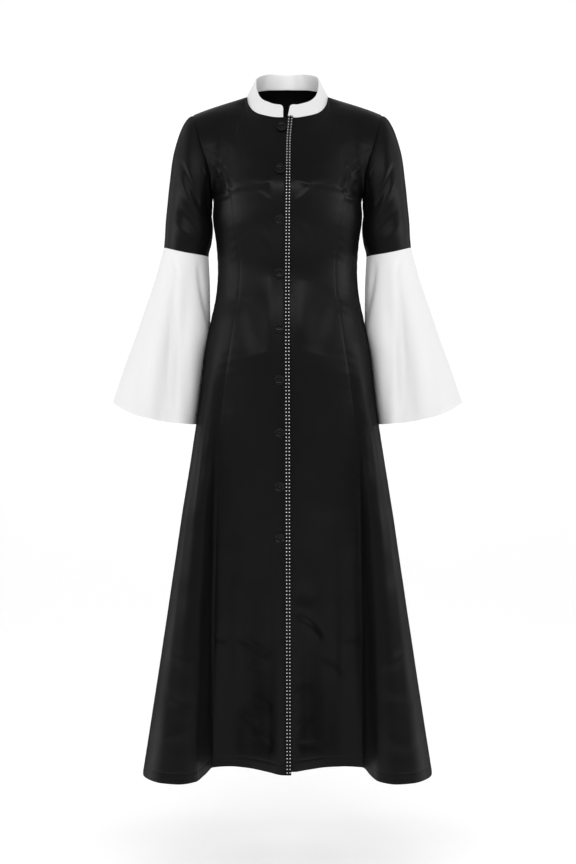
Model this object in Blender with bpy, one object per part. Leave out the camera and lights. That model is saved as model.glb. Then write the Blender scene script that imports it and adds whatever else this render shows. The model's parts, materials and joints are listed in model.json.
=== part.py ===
"""Pulpit robe: sewn cloth pieces, filled out as if worn, with nine buttons.

Metres, +Z up. The front faces -Y and the wearer's left is at +X. The origin is the middle of the
neck opening, level with the neck ends of the two shoulder seams.

Places on the body are given by two shares. turn: 0 at the centre front, 0.5 at the front panel
seam, 1 at the side seam, 1.5 at the back panel seam and 2 at the centre back, negative on the
wearer's right. up: -1 at the hem, 0 at the underarm and 1 at the neckline and shoulder seam.
On a sleeve, turn is the share round the arm from its outer side over the front.
"""

import math
from collections import namedtuple

import bpy
import bmesh
import numpy as np
from mathutils import Vector
from mathutils.bvhtree import BVHTree

FRONT, BACK = -1, 1
RIGHT, LEFT = -1, 1

# Walls of cloth and the gaps between pieces that are sewn together.
CLOTH = 0.0012
COLLAR_CLOTH = 0.002
SEAM_GAP = 0.0003
LAP_GAP = 0.0006
UNDERARM_GAP = 0.0010
COLLAR_LIFT = 0.0004
ELBOW_GAP = 0.0005

# The small step by which slopes are measured, and the angle past which an edge stays sharp.
STEP = 0.002
SHARP_ANGLE = math.radians(40)

# The height of the underarm, and where the seams lie round the body.
UNDERARM = -0.212
FRONT_PANEL_SEAM = 0.5
SIDE_SEAM = 1.0
BACK_PANEL_SEAM = 1.5
CENTRE_BACK = 2.0

# The neckline's half width and depths, and the shoulder seam from the neck to the sleeve.
NECK_SIDE = 0.081
NECK_FRONT = 0.064
NECK_BACK = 0.066
NECK_SHARE = 0.5
SHOULDER_END = (0.188, 0.006, -0.038)
SHOULDER_NECK_Y = 0.002
SHOULDER_ROUNDING = 0.003

# The armhole, and the panel seams that curve up into it.
ARMHOLE_DEPTH = 0.060
ARMHOLE_PULL = 2.6
PRINCESS_TOP = 0.56
PRINCESS_TIP = 0.54
PRINCESS_BEND = 1.5

# The left front's strip under the right front: its edge, its middle and where it comes back out.
# Its hem is lifted near the opening.
LAP_UNDER = -0.024
LAP_MIDDLE = -0.008
LAP_RETURN = 0.032
LEFT_HEM_LIFT = 0.006
LEFT_HEM_REACH = 0.34

# The collar's two rounded ends.
COLLAR_CORNER = 0.009
COLLAR_CORNER_STEPS = 3
COLLAR_RIGHT_END = -0.0085
COLLAR_LEFT_END = 0.0
COLLAR_RIGHT_SLANT = 0.8
COLLAR_LEFT_SLANT = 3.0

# The edging tape.
TRIM_WIDTH = 0.0125
TRIM_INSET = 0.0004
TRIM_THICKNESS = 0.0008

# A button, and how far its middle lies from the free edge.
BUTTON_RADIUS = 0.0105
BUTTON_THICKNESS = 0.003
BUTTON_DISH = 0.0010
BUTTON_RIM = 0.0022
BUTTON_EDGE = 0.0006
BUTTON_SIDES = 16
BUTTON_INSET = 0.0205

# How finely each piece is divided.
ROWS_BELOW = 17
ROWS_CLOSER_UP = 1.4
ROWS_TO_SEAM = 6
ROWS_ABOVE_SEAM = 4
FRONT_COLUMNS = 9
SHOULDER_COLUMNS = 4
SIDE_COLUMNS = 10
SLEEVE_ROWS = 7
CUFF_ROWS = 7
CUFF_COLUMNS = 28
COLLAR_ROWS = 3
SEARCHED_SHARES = (-0.2, 0.4, 61)
SEAT_RINGS = 24
SEAT_SIDES = 48

# Body sections below the underarm, a row for each height.
BODY_COLUMNS = ("height", "half_width", "front_seam", "front_depth", "back_seam", "back_depth", "flare")
BODY_SECTIONS = (
    (-0.212, 0.1480, 0.110, 0.122, 0.100, 0.100, 0.00),
    (-0.260, 0.1455, 0.106, 0.119, 0.094, 0.094, 0.00),
    (-0.305, 0.1415, 0.098, 0.105, 0.086, 0.085, 0.00),
    (-0.350, 0.1390, 0.093, 0.096, 0.080, 0.080, 0.00),
    (-0.400, 0.1425, 0.096, 0.098, 0.083, 0.088, 0.00),
    (-0.450, 0.1530, 0.104, 0.103, 0.090, 0.102, 0.01),
    (-0.510, 0.1650, 0.113, 0.107, 0.100, 0.115, 0.05),
    (-0.600, 0.1745, 0.126, 0.110, 0.111, 0.124, 0.13),
    (-0.700, 0.1885, 0.136, 0.112, 0.121, 0.130, 0.25),
    (-0.830, 0.2090, 0.138, 0.113, 0.127, 0.136, 0.42),
    (-1.000, 0.2340, 0.142, 0.114, 0.132, 0.142, 0.63),
    (-1.180, 0.2610, 0.144, 0.115, 0.136, 0.148, 0.83),
    (-1.340, 0.2860, 0.146, 0.116, 0.140, 0.148, 1.00),
)

# The hem in plan, with its flutes, a row for each crest, trough or shoulder of a fold.
HEM_COLUMNS = ("turn", "side", "ahead", "height")
HEM_PLAN = (
    (0.00, 0.000, -0.101, -1.3360),
    (0.03, 0.0088, -0.101, -1.3358),
    (0.14, 0.040, -0.080, -1.3335),
    (0.26, 0.078, -0.055, -1.3315),
    (0.38, 0.112, -0.044, -1.3310),
    (0.50, 0.146, -0.050, -1.3320),
    (0.58, 0.158, -0.092, -1.3370),
    (0.66, 0.176, -0.133, -1.3410),
    (0.75, 0.205, -0.152, -1.3415),
    (0.84, 0.240, -0.140, -1.3420),
    (0.91, 0.268, -0.105, -1.3425),
    (0.96, 0.283, -0.060, -1.3430),
    (1.00, 0.286, -0.012, -1.3430),
    (1.07, 0.276, 0.050, -1.3420),
    (1.14, 0.254, 0.110, -1.3410),
    (1.22, 0.220, 0.154, -1.3405),
    (1.30, 0.190, 0.166, -1.3400),
    (1.40, 0.163, 0.146, -1.3385),
    (1.50, 0.140, 0.116, -1.3370),
    (1.62, 0.106, 0.108, -1.3370),
    (1.75, 0.070, 0.130, -1.3380),
    (1.88, 0.034, 0.152, -1.3390),
    (1.97, 0.0085, 0.158, -1.3390),
    (2.00, 0.000, 0.158, -1.3390),
)

# How far the armhole stands out at each height.
ARMHOLE_COLUMNS = ("height", "side")
ARMHOLE_SIDES = (
    (-0.212, 0.1480),
    (-0.170, 0.1515),
    (-0.100, 0.1720),
    (-0.038, 0.1880),
)

# The neckline, a row for each angle from the centre front in degrees.
NECK_COLUMNS = ("angle", "height")
NECK_LINE = (
    (0.0, -0.0560),
    (12.0, -0.0556),
    (40.0, -0.047),
    (55.0, -0.038),
    (72.0, -0.022),
    (90.0, -0.002),
    (125.0, 0.016),
    (155.0, 0.025),
    (180.0, 0.027),
)

# The way the cloth runs where it reaches the neckline and the shoulder seam, and how far below the
# edge it holds that way.
REACH_COLUMNS = ("share", "outward", "inward", "upward", "hold")
FRONT_REACH = (
    (0.00, 0.00, 0.35, 0.94, 1.00),
    (0.20, -0.10, 0.45, 0.88, 0.95),
    (0.35, -0.30, 0.62, 0.72, 0.80),
    (0.45, -0.30, 0.85, 0.42, 0.65),
    (0.50, -0.10, 0.99, 0.035, 0.60),
    (0.60, 0.00, 1.00, 0.00, 0.60),
    (1.00, 0.00, 1.00, 0.00, 0.60),
)
BACK_REACH = (
    (0.00, 0.00, 0.50, 0.86, 0.85),
    (0.20, -0.06, 0.60, 0.79, 0.80),
    (0.35, -0.20, 0.78, 0.58, 0.70),
    (0.45, -0.20, 0.92, 0.30, 0.60),
    (0.50, -0.10, 0.99, 0.035, 0.55),
    (0.60, 0.00, 1.00, 0.00, 0.55),
    (1.00, 0.00, 1.00, 0.00, 0.55),
)

# The way the sleeve leaves the armhole, a row for each turn from the shoulder over the front.
LEAVE_COLUMNS = ("turn", "outward", "spread", "upward")
SLEEVE_LEAVE = (
    (0.000, 0.93, 0.00, -0.36),
    (0.125, 0.88, 0.20, -0.42),
    (0.250, 0.66, 0.42, -0.62),
    (0.375, 0.48, 0.26, -0.84),
    (0.500, 0.34, 0.00, -0.94),
)
SLEEVE_LEAVE_LENGTH = 0.145
SLEEVE_DOWN = (0.07, 0.0, -0.9975)
SLEEVE_DOWN_LENGTH = 0.27

# Rings of the bell cuff from the elbow seam to its hem.
CUFF_SECTION_COLUMNS = ("share", "inner", "outer", "front", "back", "fold")
CUFF_SECTIONS = (
    (0.0, 0.1580, 0.247, -0.050, 0.054, 0.000),
    (0.2, 0.1555, 0.265, -0.051, 0.070, 0.002),
    (0.4, 0.1560, 0.287, -0.054, 0.094, 0.004),
    (0.6, 0.1675, 0.309, -0.060, 0.116, 0.006),
    (0.8, 0.1748, 0.332, -0.068, 0.136, 0.008),
    (1.0, 0.1833, 0.353, -0.078, 0.154, 0.010),
)
ELBOW_OUTER = -0.304
ELBOW_INNER = -0.322
CUFF_HEM_OUTER = -0.612
CUFF_HEM_INNER = -0.656
CUFF_SLANT_BEND = 2.2

# Soft upright folds of a cuff: where each lies, how wide it is and its share of the fold depth.
Fold = namedtuple("Fold", ("turn", "width", "depth"))
CUFF_FOLDS = (
    Fold(0.200, 0.050, 1.0),
    Fold(0.290, 0.040, -1.0),
    Fold(0.720, 0.055, 1.0),
    Fold(0.850, 0.060, -0.7),
)

# The collar: its height and how far it leans in, a row for each angle from the centre front.
COLLAR_SECTION_COLUMNS = ("angle", "height", "lean")
COLLAR_SECTIONS = (
    (0.0, 0.030, 0.42),
    (45.0, 0.032, 0.46),
    (90.0, 0.036, 0.48),
    (135.0, 0.034, 0.38),
    (180.0, 0.031, 0.30),
)

# The overlapping front edge: how far it lies from the centre line at each height.
EDGE_COLUMNS = ("height", "side")
FRONT_EDGE = (
    (-1.340, 0.0075),
    (-0.780, 0.0060),
    (-0.450, 0.0050),
    (-0.120, 0.0070),
    (-0.056, 0.0110),
)

# Heights of the nine buttons, from the neck down.
BUTTON_HEIGHTS = (-0.077, -0.166, -0.263, -0.365, -0.471, -0.572, -0.674, -0.778, -0.877)

# Finishes: base colour, roughness, metallic.
FINISHES = {
    "black_satin": ((0.012, 0.012, 0.013, 1.0), 0.38, 0.0),
    "white_crepe": ((0.80, 0.80, 0.80, 1.0), 0.62, 0.0),
    "edging_tape": ((0.010, 0.010, 0.011, 1.0), 0.55, 0.0),
    "button_gloss": ((0.008, 0.008, 0.009, 1.0), 0.16, 0.0),
}


def hermite(start, start_slope, end, end_slope, share):
    """A smooth curve between two points with given slopes."""
    left = 1.0 - share
    return (
        start * (1.0 + 2.0 * share) * left**2
        + start_slope * share * left**2
        + end * share**2 * (3.0 - 2.0 * share)
        - end_slope * share**2 * left
    )


class Table:
    """A short table whose columns are read as smooth curves against its first column."""

    def __init__(self, columns, rows):
        ordered = sorted(rows)
        self.keys = np.array([row[0] for row in ordered])
        self.values = {}
        self.slopes = {}
        for index, name in enumerate(columns[1:], start=1):
            values = np.array([row[index] for row in ordered])
            self.values[name] = values
            self.slopes[name] = self.slopes_of(values)

    def slopes_of(self, values):
        """Slopes that never carry the curve past its own points."""
        rises = np.diff(values) / np.diff(self.keys)
        slopes = np.zeros(len(values))
        same_way = rises[:-1] * rises[1:] > 0
        before = rises[:-1][same_way]
        after = rises[1:][same_way]
        slopes[1:-1][same_way] = 2.0 * before * after / (before + after)
        slopes[0] = rises[0]
        slopes[-1] = rises[-1]
        return slopes

    def at(self, name, key):
        """The named column where the first column is key."""
        key = np.clip(key, self.keys[0], self.keys[-1])
        row = np.clip(np.searchsorted(self.keys, key, side="right") - 1, 0, len(self.keys) - 2)
        width = self.keys[row + 1] - self.keys[row]
        share = (key - self.keys[row]) / width
        values = self.values[name]
        slopes = self.slopes[name]
        return hermite(values[row], slopes[row] * width, values[row + 1], slopes[row + 1] * width, share)


BODY = Table(BODY_COLUMNS, BODY_SECTIONS)
HEM = Table(HEM_COLUMNS, HEM_PLAN)
ARMHOLE = Table(ARMHOLE_COLUMNS, ARMHOLE_SIDES)
NECK = Table(NECK_COLUMNS, NECK_LINE)
REACH = {FRONT: Table(REACH_COLUMNS, FRONT_REACH), BACK: Table(REACH_COLUMNS, BACK_REACH)}
LEAVE = Table(LEAVE_COLUMNS, SLEEVE_LEAVE)
CUFF = Table(CUFF_SECTION_COLUMNS, CUFF_SECTIONS)
COLLAR = Table(COLLAR_SECTION_COLUMNS, COLLAR_SECTIONS)
EDGE = Table(EDGE_COLUMNS, FRONT_EDGE)


def points(x, y, z):
    """Stack three arrays of coordinates into one array of points."""
    return np.stack(np.broadcast_arrays(x, y, z), axis=-1).astype(float)


def lengths(vectors):
    """The length of each vector, kept as a last axis of one."""
    return np.linalg.norm(vectors, axis=-1, keepdims=True)


def unit(vectors):
    """Each vector at a length of one."""
    return vectors / np.maximum(lengths(vectors), 1e-12)


def section_angle(share, seam_side, half_width):
    """The angle round an oval section, so that the panel seam falls at a share of a half."""
    seam_angle = np.arcsin(seam_side / half_width)
    return share * math.pi / 2 + (seam_angle - math.pi / 4) * 4.0 * share * (1.0 - share)


def below_underarm(turn, up):
    """Points of the body from the underarm down: an oval that opens into the flutes of the hem."""
    side = np.abs(turn)
    ahead = side <= SIDE_SEAM
    share = np.where(ahead, side, CENTRE_BACK - side)
    height = UNDERARM - (HEM.at("height", side) - UNDERARM) * up
    half_width = BODY.at("half_width", height)
    seam_side = np.where(ahead, BODY.at("front_seam", height), BODY.at("back_seam", height))
    depth = np.where(ahead, -BODY.at("front_depth", height), BODY.at("back_depth", height))
    flare = BODY.at("flare", height)
    angle = section_angle(share, seam_side, half_width)
    hem_seam = np.where(ahead, HEM.at("side", FRONT_PANEL_SEAM), HEM.at("side", BACK_PANEL_SEAM))
    hem_side = HEM.at("side", side)
    hem_edge = HEM.at("side", SIDE_SEAM)
    outer = seam_side + (hem_side - hem_seam) * (half_width - seam_side) / (hem_edge - hem_seam)
    inner = hem_side * seam_side / hem_seam
    fluted = np.where(share < FRONT_PANEL_SEAM, inner, outer)
    x = (1.0 - flare) * half_width * np.sin(angle) + flare * fluted
    y = (1.0 - flare) * depth * np.cos(angle) + flare * HEM.at("ahead", side)
    return points(np.sign(turn) * x, y, height)


def neckline(angle):
    """A point of the neckline, by degrees from the centre front, negative on the wearer's right."""
    away = np.abs(angle)
    radians = np.radians(away)
    depth = np.where(away < 90.0, NECK_FRONT, NECK_BACK)
    x = np.sign(angle) * NECK_SIDE * np.sin(radians)
    y = SHOULDER_NECK_Y - (depth + np.where(away < 90.0, 1, -1) * SHOULDER_NECK_Y) * np.cos(radians)
    return points(x, y, NECK.at("height", away))


def shoulder_seam(share):
    """A point of the left shoulder seam, from the neck to the sleeve."""
    end_x, end_y, end_z = SHOULDER_END
    neck_z = NECK.at("height", 90.0)
    x = NECK_SIDE + (end_x - NECK_SIDE) * share
    y = SHOULDER_NECK_Y + (end_y - SHOULDER_NECK_Y) * share
    z = neck_z + (end_z - neck_z) * share + SHOULDER_ROUNDING * np.sin(math.pi * share) * share
    return points(x, y, z)


def top_edge(face, share):
    """Neckline, then shoulder seam, of the left front or the left back."""
    neck_share = np.clip(share / NECK_SHARE, 0.0, 1.0)
    angle = 90.0 * neck_share
    neck = neckline(angle if face == FRONT else 180.0 - angle)
    seam = shoulder_seam(np.clip((share - NECK_SHARE) / (1.0 - NECK_SHARE), 0.0, 1.0))
    return np.where((share <= NECK_SHARE)[..., None], neck, seam)


def armhole(turn):
    """A point of the left armhole: turn 0 at the shoulder, 0.25 front, 0.5 underarm, 0.75 back."""
    top = SHOULDER_END[2]
    middle = (top + UNDERARM) / 2
    half = (top - UNDERARM) / 2
    angle = 2.0 * math.pi * turn
    height = middle + half * np.cos(angle)
    y = SHOULDER_END[1] * (1.0 + np.cos(angle)) / 2 - ARMHOLE_DEPTH * np.sin(angle)
    return points(ARMHOLE.at("side", height), y, height)


def rising_column(face, side, share, up):
    """Points of a column that rises from the underarm level to the top edge."""
    start = below_underarm(side, np.zeros_like(up))
    lower = below_underarm(side, np.full_like(up, -STEP))
    end = top_edge(face, share)
    reach = lengths(end - start)
    reached = REACH[face]
    arrival = points(
        reached.at("outward", share), -face * reached.at("inward", share), reached.at("upward", share)
    )
    hold = reached.at("hold", share)[..., None]
    return hermite(start, unit(start - lower) * reach, end, unit(arrival) * reach * hold, up[..., None])


def above_underarm(face, turn, up):
    """Points of the left chest or back from the underarm to the neckline and shoulder seam."""
    side = np.clip(turn, 0.0, SIDE_SEAM) if face == FRONT else np.clip(turn, SIDE_SEAM, CENTRE_BACK)
    share = side if face == FRONT else CENTRE_BACK - side
    column = rising_column(face, side, share, up)
    edge = rising_column(face, np.full_like(side, SIDE_SEAM), np.ones_like(side), up)
    hole = armhole(0.5 * (1.0 - up) if face == FRONT else 0.5 * (1.0 + up))
    return column + (share**ARMHOLE_PULL)[..., None] * (hole - edge)


def body(face, turn, up):
    """Points of the robe's outer face for shares round and up the body."""
    turn, up = np.broadcast_arrays(np.asarray(turn, float), np.asarray(up, float))
    below = below_underarm(turn, np.minimum(up, 0.0))
    above = above_underarm(face, np.abs(turn), np.clip(up, 0.0, 1.0))
    above[..., 0] *= np.where(turn < 0, -1.0, 1.0)
    return np.where((up > 0)[..., None], above, below)


def body_normals(face, turn, up):
    """Outward directions of the body at shares round and up."""
    turn, up = np.broadcast_arrays(np.asarray(turn, float), np.asarray(up, float))
    limit = np.where((up > 0) & (face == FRONT), SIDE_SEAM, np.inf)
    floor = np.where((up > 0) & (face == BACK), SIDE_SEAM, 0.0)
    size = np.abs(turn)
    sign = np.where(turn < 0, -1.0, 1.0)
    more = np.where(floor > 0, np.maximum(size + STEP, floor), np.minimum(size + STEP, limit))
    less = np.where(floor > 0, np.maximum(size - STEP, floor), size - STEP)
    crossed = more > CENTRE_BACK
    more = np.where(crossed, CENTRE_BACK, more)
    round_way = body(face, sign * more, up) - body(face, sign * less, up)
    upper = np.minimum(up + STEP, 1.0)
    lower = np.maximum(up - STEP, -1.0)
    up_way = body(face, turn, upper) - body(face, turn, lower)
    normals = unit(np.cross(round_way, up_way)) * sign[..., None]
    at_back = size >= CENTRE_BACK - 1e-9
    normals[at_back, 0] = 0.0
    return unit(normals)


def front_panel_seam(up):
    """Where the front panel seam runs: straight up the body, then round into the armhole."""
    climb = np.clip(up / PRINCESS_TOP, 0.0, 1.0)
    return FRONT_PANEL_SEAM + (SIDE_SEAM - FRONT_PANEL_SEAM) * climb**PRINCESS_BEND


def back_panel_seam(up):
    """Where the back panel seam runs: straight up the body, then round into the armhole."""
    climb = np.clip(up / PRINCESS_TOP, 0.0, 1.0)
    return BACK_PANEL_SEAM - (BACK_PANEL_SEAM - SIDE_SEAM) * climb**PRINCESS_BEND


def row_heights(top_share):
    """The up shares of a panel's rows, hem first, to the given share above the underarm."""
    below = -(np.linspace(1.0, 0.0, ROWS_BELOW + 1) ** ROWS_CLOSER_UP)
    to_seam = np.linspace(0.0, PRINCESS_TIP, ROWS_TO_SEAM + 1)[1:]
    above = np.linspace(PRINCESS_TOP, 1.0, ROWS_ABOVE_SEAM + 1)
    rows = np.concatenate([below, to_seam, above])
    return rows[rows <= top_share + 1e-9]


def turn_at_side(side, up):
    """The share round the front at which its outer face lies side metres from the centre line."""
    shares = np.linspace(*SEARCHED_SHARES)
    rows = body(FRONT, shares[None, :], up[:, None])[..., 0]
    return np.array([np.interp(target, row, shares) for target, row in zip(side, rows)])


def drawn_in(grid, gap=SEAM_GAP):
    """Pull the four edges of a panel in by half a seam gap, along the panel."""
    moved = grid.copy()
    moved[:, 0] += unit(grid[:, 1] - grid[:, 0]) * gap / 2
    moved[:, -1] += unit(grid[:, -2] - grid[:, -1]) * gap / 2
    moved[0] += unit(grid[1] - grid[0]) * gap / 2
    moved[-1] += unit(grid[-2] - grid[-1]) * gap / 2
    return moved


def skin_faces(mesh, skin, flip):
    """The faces of one side of a sheet, from its grid of vertices."""
    for below, above in zip(skin[:-1], skin[1:]):
        for left in range(len(below) - 1):
            corners = [below[left], below[left + 1], above[left + 1], above[left]]
            mesh.faces.new(corners[::-1] if flip else corners)


def sheet(name, outer, inner, finish, closed=False):
    """A cloth piece between two grids of points, outer seen with its rows rising and its columns
    running to the right. A closed sheet is a tube whose last column meets its first."""
    mesh = bmesh.new()
    skins = []
    for grid in (outer, inner):
        skins.append([[mesh.verts.new(point) for point in row] for row in grid])
    if closed:
        for skin in skins:
            for row in skin:
                row.append(row[0])
    skin_faces(mesh, skins[0], False)
    skin_faces(mesh, skins[1], True)
    front, back = skins
    for row, flip in ((0, False), (-1, True)):
        for left in range(len(front[row]) - 1):
            corners = [back[row][left], back[row][left + 1], front[row][left + 1], front[row][left]]
            mesh.faces.new(corners[::-1] if flip else corners)
    if not closed:
        for column, flip in ((0, True), (-1, False)):
            for low in range(len(front) - 1):
                corners = [
                    back[low][column], back[low + 1][column], front[low + 1][column], front[low][column]
                ]
                mesh.faces.new(corners if flip else corners[::-1])
    bmesh.ops.recalc_face_normals(mesh, faces=mesh.faces)
    bmesh.ops.triangulate(mesh, faces=mesh.faces)
    add_object(name, mesh, finish)


def add_object(name, mesh, finish):
    """Make a named object of a mesh, shaded smooth but for its edges, with its own material."""
    data = bpy.data.meshes.new(name)
    mesh.to_mesh(data)
    mesh.free()
    data.shade_smooth()
    data.set_sharp_from_angle(angle=SHARP_ANGLE)
    data.materials.append(make_material(name, finish))
    made = bpy.data.objects.new(name, data)
    bpy.context.scene.collection.objects.link(made)
    return made


def make_material(name, finish):
    """A plain material for one piece."""
    colour, roughness, metallic = FINISHES[finish]
    material = bpy.data.materials.new(f"{finish}_{name}")
    material.use_nodes = True
    shader = material.node_tree.nodes["Principled BSDF"]
    shader.inputs["Base Color"].default_value = colour
    shader.inputs["Roughness"].default_value = roughness
    shader.inputs["Metallic"].default_value = metallic
    return material


def body_sheet(name, face, turns, ups, sink=0.0):
    """A panel of the body over a grid of shares, with its wall inside the outer face."""
    normals = body_normals(face, turns, ups)
    outer = body(face, turns, ups) - normals * np.asarray(sink)[..., None]
    if outer[0, -1, 0] < outer[0, 0, 0] and face == FRONT:
        outer = outer[:, ::-1]
        normals = normals[:, ::-1]
    outer = drawn_in(outer)
    sheet(name, outer, outer - normals * CLOTH, "black_satin")


def spread_columns(start, seam, ups):
    """Shares of a panel's columns from its first column to its seam. On the neckline and shoulder
    a column runs to the neck end of the shoulder seam."""
    count = np.arange(FRONT_COLUMNS + 1)
    neck_columns = FRONT_COLUMNS - SHOULDER_COLUMNS
    start, seam = start[:, None], seam[:, None]
    level = start + (seam - start) * count / FRONT_COLUMNS
    to_neck = start + (NECK_SHARE - start) * count / neck_columns
    to_sleeve = NECK_SHARE + (seam - NECK_SHARE) * (count - neck_columns) / SHOULDER_COLUMNS
    top = np.where(count <= neck_columns, to_neck, to_sleeve)
    climb = np.clip(ups, 0.0, 1.0)[:, None]
    return level + (top - level) * climb


def lap_columns(side, ups, seam):
    """Shares round the body of a centre front's columns, from its free edge to its panel seam."""
    heights = body(FRONT, np.zeros_like(ups), ups)[:, 2]
    edge = EDGE.at("side", heights)
    lap = [np.full_like(ups, LAP_UNDER), np.full_like(ups, LAP_MIDDLE), edge]
    shares = [turn_at_side(x, ups) for x in lap]
    if side == RIGHT:
        shares = shares[::-1]
        start = shares[-1]
    else:
        shares.append(turn_at_side(np.full_like(ups, LAP_RETURN), ups))
        start = shares[-1]
    rest = side * spread_columns(side * start, seam, ups)[:, 1:]
    return np.concatenate([np.stack(shares, axis=1), rest], axis=1)


def add_centre_fronts():
    """The two centre fronts. The wearer's right one laps over the left one."""
    ups = row_heights(1.0)
    seam = front_panel_seam(ups)
    for side, name in ((RIGHT, "right_front"), (LEFT, "left_front")):
        turns = lap_columns(side, ups, seam)
        rows = np.broadcast_to(ups[:, None], turns.shape)
        sink = np.zeros(turns.shape)
        if side == LEFT:
            sink[:, :3] = CLOTH + LAP_GAP
            rows = rows.copy()
            rows[0] *= 1.0 - LEFT_HEM_LIFT * np.clip(1.0 - turns[0] / LEFT_HEM_REACH, 0.0, 1.0)
        body_sheet(name, FRONT, turns, rows, sink)


def add_side_panels():
    """The side fronts and side backs, which end in a point at the armhole."""
    ups = row_heights(PRINCESS_TIP)
    steps = np.linspace(0.0, 1.0, SIDE_COLUMNS + 1)
    for side, word in ((RIGHT, "right"), (LEFT, "left")):
        for face, seam, panel in (
            (FRONT, front_panel_seam(ups), "side_front"), (BACK, back_panel_seam(ups), "side_back")
        ):
            turns = side * (seam[:, None] + (SIDE_SEAM - seam)[:, None] * steps[None, :])
            if (face == BACK) == (side == LEFT):
                turns = turns[:, ::-1]
            rows = np.broadcast_to(ups[:, None], turns.shape)
            body_sheet(f"{word}_{panel}", face, turns, rows)


def add_centre_back():
    """The centre back, cut on the fold."""
    ups = row_heights(1.0)
    seam = CENTRE_BACK - back_panel_seam(ups)
    left = (CENTRE_BACK - spread_columns(np.zeros_like(ups), seam, ups))[:, ::-1]
    rows = np.broadcast_to(ups[:, None], left.shape)
    half = body(BACK, left, rows)
    half_normals = body_normals(BACK, left, rows)
    mirror = np.array([-1.0, 1.0, 1.0])
    outer = np.concatenate([half, (half * mirror)[:, -2::-1]], axis=1)
    normals = np.concatenate([half_normals, (half_normals * mirror)[:, -2::-1]], axis=1)
    outer = drawn_in(outer)
    sheet("centre_back", outer, outer - normals * CLOTH, "black_satin")


def ring_point(turn, row, share):
    """A point of a sleeve ring: turn 0 is its outer side, 0.25 front, 0.5 inner and 0.75 back."""
    angle = 2.0 * math.pi * turn
    inner, outer = row("inner"), row("outer")
    front, back = row("front"), row("back")
    x = (inner + outer) / 2 + (outer - inner) / 2 * np.cos(angle)
    y = (front + back) / 2 - (back - front) / 2 * np.sin(angle)
    inner_z = ELBOW_INNER + (CUFF_HEM_INNER - ELBOW_INNER) * share
    outer_z = ELBOW_OUTER + (CUFF_HEM_OUTER - ELBOW_OUTER) * share
    across = np.clip((x - inner) / (outer - inner), 0.0, 1.0)
    return points(x, y, inner_z + (outer_z - inner_z) * across**CUFF_SLANT_BEND)


def left_cuff(turn, share):
    """Points of the left bell cuff: share 0 at the elbow seam, 1 at the hem."""
    def row(name):
        return CUFF.at(name, share)

    surface = ring_point(turn, row, share)
    centre = points((row("inner") + row("outer")) / 2, (row("front") + row("back")) / 2, surface[..., 2])
    swell = np.zeros_like(turn)
    for fold in CUFF_FOLDS:
        swell = swell + fold.depth * np.exp(-(((turn % 1.0 - fold.turn) / fold.width) ** 2))
    return surface + unit(surface - centre) * (swell * row("fold"))[..., None]


def left_sleeve(turn, down):
    """Points of the left upper sleeve: down 0 at the armhole, 1 at the elbow seam."""
    at_elbow = np.zeros_like(turn)
    end = ring_point(turn, lambda name: CUFF.at(name, at_elbow), 0.0)
    away = (1.0 - np.cos(2.0 * math.pi * turn)) / 2
    start = armhole(turn) + points(away * UNDERARM_GAP, 0.0, 0.0)
    folded = np.minimum(turn % 1.0, 1.0 - turn % 1.0)
    ahead = np.where(turn % 1.0 < 0.5, -1.0, 1.0)
    spread = ahead * LEAVE.at("spread", folded)
    leave = points(LEAVE.at("outward", folded), spread, LEAVE.at("upward", folded))
    return hermite(
        start,
        unit(leave) * SLEEVE_LEAVE_LENGTH,
        end,
        np.array(SLEEVE_DOWN) * SLEEVE_DOWN_LENGTH,
        down[..., None],
    )


def tube_normals(surface, turn, share):
    """Outward directions of a left sleeve's surface."""
    round_way = surface(turn + STEP, share) - surface(turn - STEP, share)
    down_way = surface(turn, np.minimum(share + STEP, 1.0)) - surface(turn, np.maximum(share - STEP, 0.0))
    return unit(np.cross(down_way, round_way))


def tube(name, side, surface, turns, shares):
    """A sleeve piece: a tube round the arm, open at both ends."""
    turn, share = np.meshgrid(turns, shares)
    outer = surface(turn, share)
    normals = tube_normals(surface, turn, share)
    outer[0] += unit(outer[1] - outer[0]) * ELBOW_GAP / 2
    outer[-1] += unit(outer[-2] - outer[-1]) * ELBOW_GAP / 2
    inner = outer - normals * CLOTH
    if side == RIGHT:
        outer = (outer * np.array([-1.0, 1.0, 1.0]))[:, ::-1]
        inner = (inner * np.array([-1.0, 1.0, 1.0]))[:, ::-1]
    finish = "white_crepe" if surface is left_cuff else "black_satin"
    sheet(name, outer, inner, finish, closed=True)


def add_sleeves():
    """The upper sleeves, whose columns meet the rows of the body, and the bell cuffs."""
    ups = row_heights(1.0)
    ups = ups[ups >= 0.0]
    front_turns = 0.5 * (1.0 - ups[::-1])
    back_turns = 0.5 * (1.0 + ups)
    arm_turns = np.concatenate([front_turns, back_turns[1:-1]])
    cuff_turns = np.arange(CUFF_COLUMNS) / CUFF_COLUMNS
    for side, word in ((RIGHT, "right"), (LEFT, "left")):
        sleeve_rows = np.linspace(0.0, 1.0, SLEEVE_ROWS + 1)
        tube(f"{word}_upper_sleeve", side, left_sleeve, arm_turns, sleeve_rows)
        tube(f"{word}_cuff", side, left_cuff, cuff_turns, np.linspace(0.0, 1.0, CUFF_ROWS + 1))


def collar_point(angle, lift):
    """A point of the collar's outer face, lift metres up from the neckline."""
    away = np.minimum(angle, 360.0 - angle)
    base = neckline(np.where(angle > 180.0, angle - 360.0, angle))
    radians = np.radians(angle)
    lean = COLLAR.at("lean", away)
    rise = points(-np.sin(radians) * lean, np.cos(radians) * lean, np.sqrt(1.0 - lean**2))
    return base + rise * np.asarray(lift)[..., None]


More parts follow.
